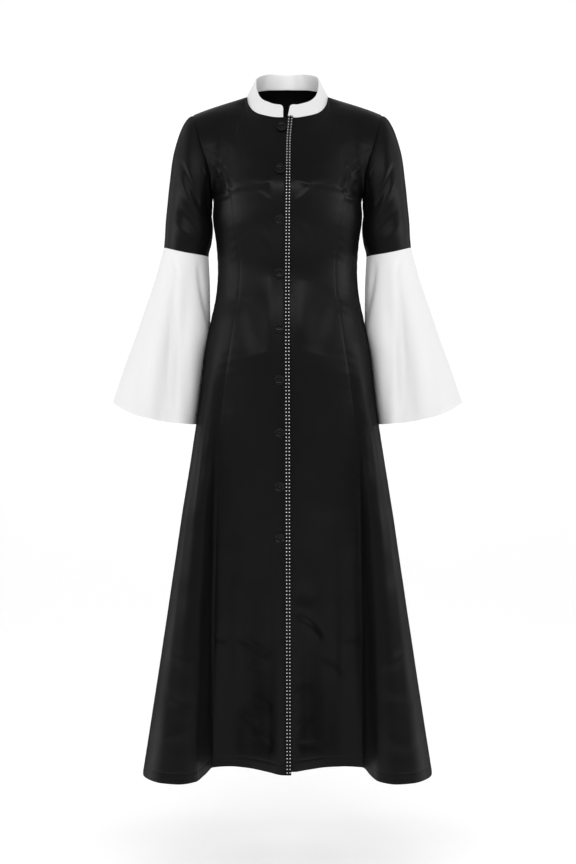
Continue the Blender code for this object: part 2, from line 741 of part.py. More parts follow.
def neck_angles():
    """Angles from the centre front at which the columns of the body panels reach the neckline."""
    top = np.ones(1)
    degrees = 90.0 / NECK_SHARE
    left = degrees * lap_columns(LEFT, top, front_panel_seam(top))[0]
    right = 360.0 + degrees * lap_columns(RIGHT, top, front_panel_seam(top))[0]
    half = degrees * spread_columns(np.zeros(1), np.ones(1), top)[0]
    half = half[half <= 90.0]
    back = np.concatenate([180.0 - half, 180.0 + half])
    angles = np.concatenate([left[(left > 0.0) & (left <= 90.0)], back, right[right >= 270.0]])
    return np.unique(np.round(angles, 6))


def add_collar():
    """The stand collar, open at the front between two rounded corners."""
    rise = np.linspace(0.0, 1.0, COLLAR_ROWS + 1)[:, None]
    left_end = math.degrees(math.asin(COLLAR_LEFT_END / NECK_SIDE)) + COLLAR_LEFT_SLANT * rise
    right_end = 360.0 + math.degrees(math.asin(COLLAR_RIGHT_END / NECK_SIDE)) - COLLAR_RIGHT_SLANT * rise
    corner = math.degrees(COLLAR_CORNER / NECK_SIDE)
    corner_steps = corner * (1.0 - np.cos(np.linspace(0.0, math.pi / 2, COLLAR_CORNER_STEPS + 1)))
    middle = neck_angles()
    middle = middle[(middle > np.max(left_end) + corner) & (middle < np.min(right_end) - corner)]
    middle = np.broadcast_to(middle[None, :], (len(rise), len(middle)))
    angle = np.concatenate(
        [left_end + corner_steps, middle, right_end - corner_steps[::-1]], axis=1
    )
    inset = np.clip(np.minimum(angle - left_end, right_end - angle) / corner, 0.0, 1.0)
    rounding = COLLAR_CORNER * (1.0 - np.sqrt(1.0 - (1.0 - inset) ** 2))
    full = COLLAR.at("height", np.minimum(angle, 360.0 - angle))
    lift = COLLAR_LIFT + rise * (full - rounding)
    outer = drawn_in(collar_point(angle, lift))
    turn_step = math.degrees(STEP)
    round_way = collar_point(angle + turn_step, lift) - collar_point(angle - turn_step, lift)
    up_way = collar_point(angle, lift + STEP) - collar_point(angle, lift)
    normals = unit(np.cross(round_way, up_way))
    sheet("collar", outer, outer - normals * COLLAR_CLOTH, "white_crepe")


def add_edge_trim():
    """The edging tape, laid on the right front along its free edge."""
    ups = row_heights(1.0)
    heights = body(FRONT, np.zeros_like(ups), ups)[:, 2]
    outer_side = EDGE.at("side", heights) - TRIM_INSET
    turns = np.stack([turn_at_side(outer_side - TRIM_WIDTH, ups), turn_at_side(outer_side, ups)], axis=1)
    rows = np.broadcast_to(ups[:, None], turns.shape)
    surface = body(FRONT, turns, rows)
    normals = body_normals(FRONT, turns, rows)
    back = surface + normals * SEAM_GAP
    back[0] += unit(back[1] - back[0]) * SEAM_GAP
    back[-1] += unit(back[-2] - back[-1]) * SEAM_GAP
    sheet("front_edge_trim", back + normals * TRIM_THICKNESS, back, "edging_tape")


def button_mesh():
    """A round button with a soft edge and a dished face inside its rim, its back at Z 0."""
    mesh = bmesh.new()
    bmesh.ops.create_cone(
        mesh,
        cap_ends=True,
        segments=BUTTON_SIDES,
        radius1=BUTTON_RADIUS,
        radius2=BUTTON_RADIUS,
        depth=BUTTON_THICKNESS,
    )
    bmesh.ops.translate(mesh, verts=mesh.verts, vec=(0.0, 0.0, BUTTON_THICKNESS / 2))
    caps = [face for face in mesh.faces if len(face.verts) == BUTTON_SIDES]
    rims = [edge for face in caps for edge in face.edges]
    bmesh.ops.bevel(
        mesh, geom=rims, offset=BUTTON_EDGE, segments=1, profile=0.5, affect="EDGES", material=-1
    )
    top = max(mesh.faces, key=lambda face: face.calc_center_median().z)
    bmesh.ops.inset_region(mesh, faces=[top], thickness=BUTTON_RIM, depth=0.0)
    bmesh.ops.inset_region(mesh, faces=[top], thickness=BUTTON_DISH, depth=-BUTTON_DISH)
    bmesh.ops.triangulate(mesh, faces=mesh.faces)
    return mesh


def surface_of(piece):
    """A piece's faces, ready to be met by straight lines."""
    corners = [vertex.co for vertex in piece.data.vertices]
    return BVHTree.FromPolygons(corners, [face.vertices for face in piece.data.polygons])


def seat_height(carriers, middle, upright, normal):
    """How high the carriers reach along the normal under a button's back."""
    across = np.cross(upright, normal)
    heights = []
    for radius in np.linspace(0.0, BUTTON_RADIUS, SEAT_RINGS):
        for angle in np.linspace(0.0, 2.0 * math.pi, SEAT_SIDES, endpoint=False):
            offset = (across * math.cos(angle) + upright * math.sin(angle)) * radius
            start = Vector(middle + offset + normal * BUTTON_RADIUS)
            for carrier in carriers:
                met = carrier.ray_cast(start, Vector(-normal), 2.0 * BUTTON_RADIUS)
                if met[0] is not None:
                    heights.append(BUTTON_RADIUS - met[3])
    return max(heights)


def add_buttons():
    """The nine buttons, sewn beside the free edge and just over the side of the edging tape."""
    ups = row_heights(1.0)
    centre_heights = body(FRONT, np.zeros_like(ups), ups)[:, 2]
    side = EDGE.at("side", centre_heights) - BUTTON_INSET
    turns = turn_at_side(side, ups)
    track = body(FRONT, turns, ups)

    def on_front(height):
        return np.array([np.interp(height, track[:, 2], track[:, axis]) for axis in range(3)])

    carriers = [surface_of(bpy.data.objects[name]) for name in ("right_front", "front_edge_trim")]
    for number, height in enumerate(BUTTON_HEIGHTS, start=1):
        above, below = on_front(height + BUTTON_RADIUS), on_front(height - BUTTON_RADIUS)
        up = np.interp(height, track[:, 2], ups)
        normal = body_normals(FRONT, np.interp(up, ups, turns), up)
        upright = unit(above - below)
        normal = unit(normal - upright * np.dot(normal, upright))
        middle = (above + below) / 2
        stand = seat_height(carriers, middle, upright, normal) + SEAM_GAP
        button = add_object(f"button_{number}", button_mesh(), "button_gloss")
        button.location = Vector(middle + normal * stand)
        button.rotation_euler = Vector(normal).to_track_quat("Z", "Y").to_euler()


def build_robe():
    """Model every piece of the robe."""
    for old in list(bpy.data.objects):
        bpy.data.objects.remove(old, do_unlink=True)
    add_centre_fronts()
    add_side_panels()
    add_centre_back()
    add_sleeves()
    add_collar()
    add_edge_trim()
    add_buttons()


build_robe()
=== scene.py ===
"""Looks of the pulpit robe: satin panels with their creases, crepe cuffs and collar, beaded front edge,
buttons and sewing, in a pale studio.

Metres, +Z up. The front faces -Y and the wearer's left is at +X. Places on the body are given by two
shares. turn: 0 at the centre front, 0.5 at the front panel seam, 1 at the side seam, 1.5 at the back
panel seam and 2 at the centre back, negative on the wearer's right. up: -1 at the hem, 0 at the
underarm and 1 at the neckline and shoulder seam. On a sleeve, turn is the share round the arm from its
outer side over the front.
"""

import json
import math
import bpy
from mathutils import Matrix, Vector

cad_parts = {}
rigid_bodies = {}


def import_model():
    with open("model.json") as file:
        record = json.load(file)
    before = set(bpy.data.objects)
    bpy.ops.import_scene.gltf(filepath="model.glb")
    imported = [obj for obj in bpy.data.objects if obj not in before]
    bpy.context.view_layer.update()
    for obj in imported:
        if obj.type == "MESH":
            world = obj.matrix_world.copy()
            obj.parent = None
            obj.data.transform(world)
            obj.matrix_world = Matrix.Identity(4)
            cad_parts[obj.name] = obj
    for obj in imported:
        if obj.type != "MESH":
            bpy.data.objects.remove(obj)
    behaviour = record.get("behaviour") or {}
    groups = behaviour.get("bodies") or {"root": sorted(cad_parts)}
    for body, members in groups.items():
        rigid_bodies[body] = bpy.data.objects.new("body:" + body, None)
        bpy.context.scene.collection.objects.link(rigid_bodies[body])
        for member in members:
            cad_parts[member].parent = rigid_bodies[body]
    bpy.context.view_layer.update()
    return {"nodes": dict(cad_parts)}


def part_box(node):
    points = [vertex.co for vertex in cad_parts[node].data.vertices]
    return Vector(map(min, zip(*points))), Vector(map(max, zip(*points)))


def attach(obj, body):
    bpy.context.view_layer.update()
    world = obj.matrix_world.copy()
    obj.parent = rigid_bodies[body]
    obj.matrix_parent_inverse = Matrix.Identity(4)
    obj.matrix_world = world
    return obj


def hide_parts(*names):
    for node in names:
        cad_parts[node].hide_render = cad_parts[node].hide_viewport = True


bl_info = {
    "name": "Pulpit robe",
    "version": (1, 0, 0),
    "blender": (4, 5, 0),
    "location": "3D View > Sidebar > Robe",
    "description": "Sews the robe's cloth, beads, buttons and stitching over its solids, and lights it",
    "category": "Object",
}

from collections import namedtuple

import bmesh
import bpy
import numpy as np
from bpy.props import FloatProperty, FloatVectorProperty, PointerProperty
from mathutils import Matrix, Vector
from mathutils.bvhtree import BVHTree

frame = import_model()

FRONT, BACK = -1, 1
RIGHT, LEFT = -1, 1
SIDES = ((RIGHT, "right"), (LEFT, "left"))

# Gaps between pieces, how far past the overlapping edge the left front has sunk under it, and how far
# the top of a sleeve is tucked under the body's edge.
SEAM_GAP = 0.0003
SEWN_GAP = 0.00002
LAP_GAP = 0.0006
LAP_CLEAR = 0.001
UNDERARM_GAP = 0.0010
SLEEVE_TUCK = 0.0015
SLEEVE_TUCK_SHARE = 0.045
COLLAR_LIFT = 0.0004
ELBOW_GAP = 0.0005

# The small step by which slopes are measured, the angles past which an edge stays sharp or is rounded,
# how close two points are when they are made one, and what counts as nothing.
STEP = 0.002
SHARP_ANGLE = math.radians(40)
BUTTON_SHARP_ANGLE = math.radians(32)
RIM_ANGLE = math.radians(60)
WELD = 1e-6
TINY = 1e-9
NO_LENGTH = 1e-12

# The height of the underarm, and where the seams lie round the body.
UNDERARM = -0.212
FRONT_PANEL_SEAM = 0.5
SIDE_SEAM = 1.0
BACK_PANEL_SEAM = 1.5
CENTRE_BACK = 2.0

# The neckline's half width and depths, and the shoulder seam from the neck to the sleeve.
NECK_SIDE = 0.081
NECK_FRONT = 0.064
NECK_BACK = 0.066
NECK_SHARE = 0.5
SHOULDER_END = (0.188, 0.006, -0.038)
SHOULDER_NECK_Y = 0.002
SHOULDER_ROUNDING = 0.003

# The armhole, and the panel seams that curve up into it.
ARMHOLE_DEPTH = 0.060
ARMHOLE_PULL = 2.6
PRINCESS_TOP = 0.56
PRINCESS_TIP = 0.54
PRINCESS_BEND = 1.5

# The left front's strip under the right front. Its hem is lifted near the opening.
LAP_UNDER = -0.024
LAP_RETURN = 0.032
LEFT_HEM_LIFT = 0.006
LEFT_HEM_REACH = 0.34
LEFT_HEM_RISE = 0.1

# The collar's two rounded ends, its soft waves by height, number round the neck and start, and its
# small creases by place and width in degrees and by depth.
COLLAR_WAVES = ((0.0004, 7.0, 0.8), (0.0003, 17.0, 0.0))
COLLAR_CREASES = ((163.0, 3.0, 0.0009), (196.0, 3.0, 0.0008))
COLLAR_CORNER = 0.009
COLLAR_RIGHT_END = -0.0085
COLLAR_LEFT_END = 0.0
COLLAR_RIGHT_SLANT = 0.8
COLLAR_LEFT_SLANT = 3.0
COLLAR_SOFT_EDGE = 0.0006

# The edging tape, which runs a little way up over the collar, and its two rows of beads: their places,
# their roundness, how high they sit, how many widths of their own they keep from a button, and where
# they stand close.
TRIM_WIDTH = 0.0125
TRIM_INSET = 0.0004
TRIM_THICKNESS = 0.0008
TRIM_ABOVE = (0.0012, 0.0024, 0.0036)
TRIM_ABOVE_LIFT = 0.0006
BEAD_INSETS = (0.0024, 0.0081)
BEAD_SEGMENTS = 8
BEAD_RINGS = 6
BEAD_LIFT = 0.0002
BEAD_CLEAR = 0.35
BEAD_TOP = -0.0535
BEAD_CLOSE_PITCH = 0.0059
BEAD_CLOSE_TO = -0.25
BEAD_OPEN_FROM = -0.42

# A button: its radius, the profile of half of it, its holes, how its seat on the cloth is felt, and
# the thread through its holes.
BUTTONS = range(1, 10)
BUTTON_RADIUS = 0.0105
BUTTON_PROFILE = (
    (0.0000, 0.0000),
    (0.0094, 0.0000),
    (0.0101, 0.0003),
    (0.0105, 0.0010),
    (0.0105, 0.0018),
    (0.0102, 0.0025),
    (0.0096, 0.0029),
    (0.0089, 0.0030),
    (0.0082, 0.0028),
    (0.0076, 0.0024),
    (0.0066, 0.0018),
    (0.0052, 0.0014),
    (0.0036, 0.0012),
    (0.0000, 0.0011),
)
BUTTON_STEPS = 48
BUTTON_HOLE_RADIUS = 0.0009
BUTTON_HOLE_PLACE = 0.0026
BUTTON_HOLE_SIDES = 14
DRILL_LENGTH = 0.01
BUTTON_SEAT = 0.0001
SEAT_SHARE = 0.95
SEAT_RINGS = 9
SEAT_SPOKES = 24
THREAD_SIDES = 8
THREAD_STEPS = 10
THREAD_RADIUS = 0.00042
THREAD_HEIGHT = 0.0004
THREAD_ARCH = 0.42

# Stitches of the two hems: how far above the edge, the runs of turns that they follow, the points on
# a run, how deep they lie in their groove, their pitch and their size.
BODY_HEM = 0.020
BODY_HEM_RUNS = ((FRONT, 0.04, 0.995), (BACK, 1.005, 1.995))
CUFF_HEM = 0.018
CUFF_LENGTH = 0.3312
HEM_POINTS = 240
STITCH_DEPTH = 0.7
STITCH_PITCH = 0.0046
STITCH_SIZE = (0.0015, 0.00035, 0.00025)

# How finely each cloth piece is divided, where the bands of the body's rows end, how the collar's
# columns crowd towards its ends, the shares searched for a place, and the rows of a side panel's tip.
HEM_ROWS = 14
SKIRT_ROWS = 118
WAIST_ROWS = 97
CHEST_ROWS = 33
SHOULDER_ROWS = 27
HEM_BAND = 0.0235
HIP_SHARE = -0.345
LAP_COLUMNS = 9
FRONT_COLUMNS = 36
SHOULDER_COLUMNS = 16
SIDE_COLUMNS = 46
SLEEVE_ROWS = 66
SLEEVE_COLUMNS = 96
CUFF_ROWS = 110
CUFF_COLUMNS = 150
COLLAR_ROWS = 12
COLLAR_COLUMNS = 170
COLLAR_CROWDING = 0.09
TRIM_COLUMNS = 6
SEARCHED_SHARES = (-0.2, 0.4, 61)
TIP_ROWS = (0.545, 0.550, 0.555, 0.558)

# Body sections below the underarm, a row for each height.
BODY_COLUMNS = ("height", "half_width", "front_seam", "front_depth", "back_seam", "back_depth", "flare")
BODY_SECTIONS = (
    (-0.212, 0.1480, 0.110, 0.122, 0.100, 0.100, 0.00),
    (-0.260, 0.1455, 0.106, 0.119, 0.094, 0.094, 0.00),
    (-0.305, 0.1415, 0.098, 0.105, 0.086, 0.085, 0.00),
    (-0.350, 0.1390, 0.093, 0.096, 0.080, 0.080, 0.00),
    (-0.400, 0.1425, 0.096, 0.098, 0.083, 0.088, 0.00),
    (-0.450, 0.1530, 0.104, 0.103, 0.090, 0.102, 0.01),
    (-0.510, 0.1650, 0.113, 0.107, 0.100, 0.115, 0.05),
    (-0.600, 0.1745, 0.126, 0.110, 0.111, 0.124, 0.13),
    (-0.700, 0.1885, 0.136, 0.112, 0.121, 0.130, 0.25),
    (-0.830, 0.2090, 0.138, 0.113, 0.127, 0.136, 0.42),
    (-1.000, 0.2340, 0.142, 0.114, 0.132, 0.142, 0.63),
    (-1.180, 0.2610, 0.144, 0.115, 0.136, 0.148, 0.83),
    (-1.340, 0.2860, 0.146, 0.116, 0.140, 0.148, 1.00),
)

# The hem in plan, with its flutes, a row for each crest, trough or shoulder of a fold.
HEM_COLUMNS = ("turn", "side", "ahead", "height")
HEM_PLAN = (
    (0.00, 0.000, -0.101, -1.3360),
    (0.03, 0.0088, -0.101, -1.3358),
    (0.14, 0.040, -0.080, -1.3335),
    (0.26, 0.078, -0.055, -1.3315),
    (0.38, 0.112, -0.044, -1.3310),
    (0.50, 0.146, -0.050, -1.3320),
    (0.58, 0.158, -0.092, -1.3370),
    (0.66, 0.176, -0.133, -1.3410),
    (0.75, 0.205, -0.152, -1.3415),
    (0.84, 0.240, -0.140, -1.3420),
    (0.91, 0.268, -0.105, -1.3425),
    (0.96, 0.283, -0.060, -1.3430),
    (1.00, 0.286, -0.012, -1.3430),
    (1.07, 0.276, 0.050, -1.3420),
    (1.14, 0.254, 0.110, -1.3410),
    (1.22, 0.220, 0.154, -1.3405),
    (1.30, 0.190, 0.166, -1.3400),
    (1.40, 0.163, 0.146, -1.3385),
    (1.50, 0.140, 0.116, -1.3370),
    (1.62, 0.106, 0.108, -1.3370),
    (1.75, 0.070, 0.130, -1.3380),
    (1.88, 0.034, 0.152, -1.3390),
    (1.97, 0.0085, 0.158, -1.3390),
    (2.00, 0.000, 0.158, -1.3390),
)

# How far the armhole stands out at each height.
ARMHOLE_COLUMNS = ("height", "side")
ARMHOLE_SIDES = (
    (-0.212, 0.1480),
    (-0.170, 0.1515),
    (-0.100, 0.1720),
    (-0.038, 0.1880),
)

# The neckline, a row for each angle from the centre front in degrees.
NECK_COLUMNS = ("angle", "height")
NECK_LINE = (
    (0.0, -0.0560),
    (12.0, -0.0556),
    (40.0, -0.047),
    (55.0, -0.038),
    (72.0, -0.022),
    (90.0, -0.002),
    (125.0, 0.016),
    (155.0, 0.025),
    (180.0, 0.027),
)

# The way the cloth runs where it reaches the neckline and the shoulder seam, and how far below the
# edge it holds that way.
REACH_COLUMNS = ("share", "outward", "inward", "upward", "hold")
FRONT_REACH = (
    (0.00, 0.00, 0.35, 0.94, 1.00),
    (0.20, -0.10, 0.45, 0.88, 0.95),
    (0.35, -0.30, 0.62, 0.72, 0.80),
    (0.45, -0.30, 0.85, 0.42, 0.65),
    (0.50, -0.10, 0.99, 0.035, 0.60),
    (0.60, 0.00, 1.00, 0.00, 0.60),
    (1.00, 0.00, 1.00, 0.00, 0.60),
)
BACK_REACH = (
    (0.00, 0.00, 0.50, 0.86, 0.85),
    (0.20, -0.06, 0.60, 0.79, 0.80),
    (0.35, -0.20, 0.78, 0.58, 0.70),
    (0.45, -0.20, 0.92, 0.30, 0.60),
    (0.50, -0.10, 0.99, 0.035, 0.55),
    (0.60, 0.00, 1.00, 0.00, 0.55),
    (1.00, 0.00, 1.00, 0.00, 0.55),
)

# The way the sleeve leaves the armhole, a row for each turn from the shoulder over the front.
LEAVE_COLUMNS = ("turn", "outward", "spread", "upward")
SLEEVE_LEAVE = (
    (0.000, 0.93, 0.00, -0.36),
    (0.125, 0.88, 0.20, -0.42),
    (0.250, 0.66, 0.42, -0.62),
    (0.375, 0.48, 0.26, -0.84),
    (0.500, 0.34, 0.00, -0.94),
)
SLEEVE_LEAVE_LENGTH = 0.145
SLEEVE_DOWN = (0.07, 0.0, -0.9975)
SLEEVE_DOWN_LENGTH = 0.27

# Rings of the bell cuff from the elbow seam to its hem.
CUFF_SECTION_COLUMNS = ("share", "inner", "outer", "front", "back", "fold")
CUFF_SECTIONS = (
    (0.0, 0.1580, 0.247, -0.050, 0.054, 0.000),
    (0.2, 0.1555, 0.265, -0.051, 0.070, 0.002),
    (0.4, 0.1560, 0.287, -0.054, 0.094, 0.004),
    (0.6, 0.1675, 0.309, -0.060, 0.116, 0.006),
    (0.8, 0.1748, 0.332, -0.068, 0.136, 0.008),
    (1.0, 0.1833, 0.353, -0.078, 0.154, 0.010),
)
ELBOW_OUTER = -0.304
ELBOW_INNER = -0.322
CUFF_HEM_OUTER = -0.612
CUFF_HEM_INNER = -0.656
CUFF_SLANT_BEND = 2.2

# Soft upright folds of a cuff: where each lies, how wide it is and its share of the fold depth.
Fold = namedtuple("Fold", ("turn", "width", "depth"))
CUFF_FOLDS = (
    Fold(0.200, 0.050, 1.0),
    Fold(0.290, 0.040, -1.0),
    Fold(0.720, 0.055, 1.0),
    Fold(0.850, 0.060, -0.7),
)

# The collar: its height and how far it leans in, a row for each angle from the centre front.
COLLAR_SECTION_COLUMNS = ("angle", "height", "lean")
COLLAR_SECTIONS = (
    (0.0, 0.030, 0.42),
    (45.0, 0.032, 0.46),
    (90.0, 0.036, 0.48),
    (135.0, 0.034, 0.38),
    (180.0, 0.031, 0.30),
)

# The overlapping front edge: how far it lies from the centre line at each height.
EDGE_COLUMNS = ("height", "side")
FRONT_EDGE = (
    (-1.340, 0.0075),
    (-0.780, 0.0060),
    (-0.450, 0.0050),
    (-0.120, 0.0070),
    (-0.056, 0.0110),
)

# Creases: from one end to the other, how far the middle bows aside, how wide it is, and how high it
# stands, or how deep it lies where that is below zero. The taper is the power with which its ends fade.
Crease = namedtuple("Crease", ("across", "along", "to_across", "to_along", "bow", "width", "height"))
CREASE_TAPER = 0.8


def crease_rows(*rows):
    """Creases in metres, from rows in millimetres."""
    return tuple(Crease(*(value / 1000 for value in row)) for row in rows)


# Creases of the front, as seen from ahead: across is X and along is Z.
FRONT_CREASES = crease_rows(
    # From the armholes over the bust.
    (-173, -125, -129, -160, -3, 5.5, 1.6),
    (-170, -142, -132, -174, -3, 5.5, -1.4),
    (-130, -158, -114, -205, 4, 5, 1.6),
    (-121, -170, -106, -202, 3, 5.5, -0.9),
    (-138, -174, -134, -206, 2, 8, -1.8),
    (-138, -213, -110, -212, 2, 4.5, 1.4),
    (175, -122, 140, -154, 2, 5.5, 1.5),
    (170, -138, 136, -170, 2, 5.5, -1.3),
    (142, -152, 121, -166, 1, 5, 1.3),
    (122, -162, 111, -205, -3, 5, 1.6),
    (113, -172, 102, -200, -3, 5.5, -0.9),
    (137, -176, 133, -208, -2, 8, -1.8),
    (137, -215, 108, -213, 2, 4.5, 1.3),
    # Along the bust and down from it beside the opening.
    (-126, -194, -12, -191, 2, 17, 1.5),
    (-120, -207, -26, -205, 1, 6.5, -0.4),
    (126, -194, 20, -192, -2, 17, 1.5),
    (120, -208, 40, -205, -1, 6.5, -0.4),
    (10, -184, 47, -199, 1, 5, 0.8),
    (47, -201, 10, -233, 1, 4, 0.9),
    (-64, -206, -18, -239, 1, 4, 0.8),
    (-50, -196, -20, -184, 1, 4.5, 0.6),
    # Below the shoulders.
    (-142, -62, -92, -78, 3, 15, -1.4),
    (-136, -106, -96, -116, 2, 13, 1.2),
    (-129, -147, -114, -154, 0, 4, 0.9),
    (142, -62, 92, -78, -3, 15, -1.4),
    (136, -106, 96, -116, -2, 13, 1.2),
    (124, -147, 110, -154, 0, 4, 0.9),
    # Pulled towards the third button.
    (-48, -271, -14, -303, 1, 4, 0.9),
    (-58, -286, -22, -316, 1, 4.5, -0.7),
    (11, -271, 31, -303, 1, 4, 0.9),
    (22, -268, 44, -296, 1, 4.5, -0.6),
    # Over the belly.
    (-98, -392, -60, -520, 9, 22, -3),
    (94, -392, 56, -520, -9, 22, -3),
    (-36, -372, -24, -510, 3, 17, 1.6),
    (34, -380, 26, -500, -3, 15, 1),
    # Long folds from the hips to the hem.
    (-142, -780, -165, -1420, 4, 9, -2.6),
    (139, -790, 158, -1420, -4, 9, -2.4),
    (-122, -560, -132, -860, -4, 15, -1.6),
    (120, -560, 129, -860, 4, 15, -1.6),
    (-100, -860, -104, -1250, 2, 12, 1.6),
    (94, -880, 97, -1230, -2, 12, 1.4),
    (-60, -640, -72, -960, -3, 18, 1.4),
    (56, -610, 66, -930, 3, 18, 1.4),
    # Small folds of the lower skirt.
    (-146, -1078, -112, -1095, -4, 6, 1.2),
    (142, -1076, 108, -1094, 4, 6, 1.2),
    (10, -984, 58, -1001, 4, 16, -1.8),
    (13, -1018, 74, -1076, 9, 6.5, -1.8),
    (18, -1032, 70, -1092, 8, 8, 1.3),
    (-104, -1066, -18, -1106, -6, 6.5, -1.7),
    (-96, -1082, -30, -1118, -5, 7, 1.1),
    (-82, -1130, -40, -1133, 2, 5.5, 1.2),
    (-86, -1188, -20, -1216, 3, 10, -1.6),
    (-98, -1219, -56, -1245, 2, 7, 1.4),
    (-82, -1258, -18, -1290, -3, 8, -1.5),
    (11, -1188, 50, -1165, 2, 6.5, 1.4),
    (12, -1250, 50, -1227, 2, 6.5, 1.4),
    (12, -1274, 68, -1282, -3, 6.5, -1.4),
    (60, -1120, 110, -1160, 4, 9, 1.2),
    (-190, -980, -205, -1240, 3, 14, 1.4),
    (188, -960, 204, -1220, -3, 14, 1.4),
    # Soft folds of the side fronts.
    (-232, -1098, -176, -1128, 5, 11, 1.1),
    (-240, -1176, -178, -1190, -4, 10, -1.1),
    (-246, -1262, -182, -1244, 4, 11, 1.1),
    (-156, -640, -176, -860, 4, 16, 1.6),
    (174, -1122, 228, -1096, -4, 11, 1.1),
    (180, -1184, 244, -1206, 4, 10, -1.1),
    (184, -1250, 240, -1276, -4, 11, 1.1),
    (154, -660, 172, -880, -4, 16, 1.6),
)

# Creases of the hidden back, alike in size and kind: across is X and along is Z.
BACK_CREASES = crease_rows(
    (-165, -130, -112, -168, -4, 7, 1.8),
    (-160, -148, -116, -184, -3, 6.5, -1.6),
    (166, -126, 114, -164, 4, 7, 1.8),
    (158, -146, 112, -186, 3, 6.5, -1.6),
    (-120, -52, -60, -74, 3, 16, -1.3),
    (122, -54, 64, -76, -3, 16, -1.3),
    (-50, -120, 46, -124, -6, 14, 1.2),
    (-100, -352, -22, -342, 4, 6, -1.4),
    (-82, -366, 6, -360, -3, 6.5, 1.2),
    (104, -346, 30, -338, -4, 6, -1.4),
    (92, -380, 14, -374, -3, 7, -1.2),
    (-64, -330, 0, -324, 3, 5.5, 1),
    (-70, -430, -48, -560, 6, 19, -1.6),
    (74, -440, 50, -570, -6, 19, -1.6),
    (-104, -620, -112, -940, -4, 16, -1.8),
    (108, -600, 116, -920, 4, 16, -1.8),
    (-120, -800, -132, -1420, 4, 10, -2.4),
    (122, -820, 133, -1420, -4, 10, -2.4),
    (-40, -700, -46, -1120, 3, 15, 1.6),
    (36, -740, 44, -1180, -3, 15, 1.4),
    (-4, -900, 2, -1300, 4, 14, 1.4),
    (-186, -960, -198, -1250, 3, 14, 1.4),
    (190, -980, 203, -1260, -3, 14, 1.4),
    (-96, -1060, -30, -1092, -6, 7, -1.5),
    (20, -1040, 78, -1076, 6, 7, -1.5),
    (-88, -1180, -36, -1206, 3, 9, 1.3),
    (30, -1196, 92, -1176, 3, 9, 1.3),
    (-224, -1112, -168, -1142, 5, 10, 1.6),
    (-230, -1216, -172, -1232, -4, 9, -1.5),
    (170, -1126, 222, -1104, -4, 9.5, 1.6),
    (176, -1222, 234, -1244, 4, 9, -1.5),
)

# Creases of an upper sleeve: across is the way round from its outer side, along the way down. Those of
# the left one lie lower and are shallower, so that the two are not alike.
SLEEVE_GIRTH = 0.36
SLEEVE_LENGTH = 0.24
SLEEVE_UNLIKE = (0.004, 0.85)
SLEEVE_CREASES = crease_rows(
    (60, -116, 118, -152, 3, 10, 1.7),
    (58, -90, 122, -122, 3, 9.5, -1.7),
    (62, -168, 128, -196, 4, 11, -1.4),
    (56, -196, 110, -216, 2, 8, 1.1),
    (142, -12, 160, -80, 4, 6.5, 1.9),
    (152, -18, 172, -96, 4, 6.5, -1.7),
    (114, -4, 106, -24, 0, 3.5, 1.1),
    (124, -4, 118, -26, 0, 3.5, -1.1),
    (134, -4, 130, -28, 0, 3.5, 1.1),
    (240, -96, 300, -130, -4, 9.5, -1.6),
    (234, -124, 296, -160, -3, 10, 1.6),
    (236, -176, 290, -200, -3, 10.5, -1.3),
    (214, -14, 196, -86, -4, 6.5, 1.8),
    (226, -6, 236, -30, 0, 4, 1),
    (18, -40, 30, -120, 3, 11, 1),
    (340, -80, 330, -180, 3, 11, -1),
)

# Creases of a cuff, as seen from ahead or from behind: across is the distance from the centre line. They
# are moved aside on the left cuff and behind, and meet softly at the sides.
CUFF_UNLIKE = 0.003
CUFF_BACK_SHIFT = 0.007
CUFF_FACING = 0.35
CUFF_CREASES = crease_rows(
    (226, -318, 214, -374, 1, 5.5, -1.2),
    (217, -335, 223, -730, 9, 8.5, -4),
    (205, -380, 212, -730, 7, 9, 1.8),
    (176, -330, 158, -475, 2, 5.5, -2.6),
    (248, -390, 262, -740, 4, 13, 2.2),
    (274, -430, 292, -740, 4, 12, -2),
    (190, -420, 197, -740, 3, 11, 1.8),
    (300, -480, 330, -720, 4, 12, 1.2),
)

# Soft waves of the satin: how often across and along each metre, where it starts, and its share.
Wave = namedtuple("Wave", ("across", "along", "start", "share"))
SATIN_WAVES = (
    Wave(7.0, 4.1, 0.3, 0.34),
    Wave(-4.2, 8.3, 1.9, 0.28),
    Wave(12.7, -5.9, 4.1, 0.20),
    Wave(3.1, 15.2, 2.6, 0.18),
)

# The patch over which the body's faces are averaged, so that the bends of the tables show no lines:
# shares of its reach with their weights, its reach up and down and round the chest, the body's height
# below and above the underarm, and how the patch fades.
PATCH = ((-1.0, 1.0), (-0.6, 2.0), (-0.25, 2.6), (0.0, 2.8), (0.25, 2.6), (0.6, 2.0), (1.0, 1.0))
PATCH_ROUND = ((-1.0, 1.0), (-0.5, 2.0), (0.0, 2.4), (0.5, 2.0), (1.0, 1.0))
PATCH_HEIGHT = 0.026
PATCH_TURN = 0.13
SKIRT_RISE = 1.13
CHEST_RISE = 0.18
PATCH_EDGE_SHARE = 0.9
PATCH_FADE_SIDE = 0.30
PATCH_FADE_UP = 0.3
PATCH_FADE_TOP = 0.2
PATCH_FADE_BACK = 0.2

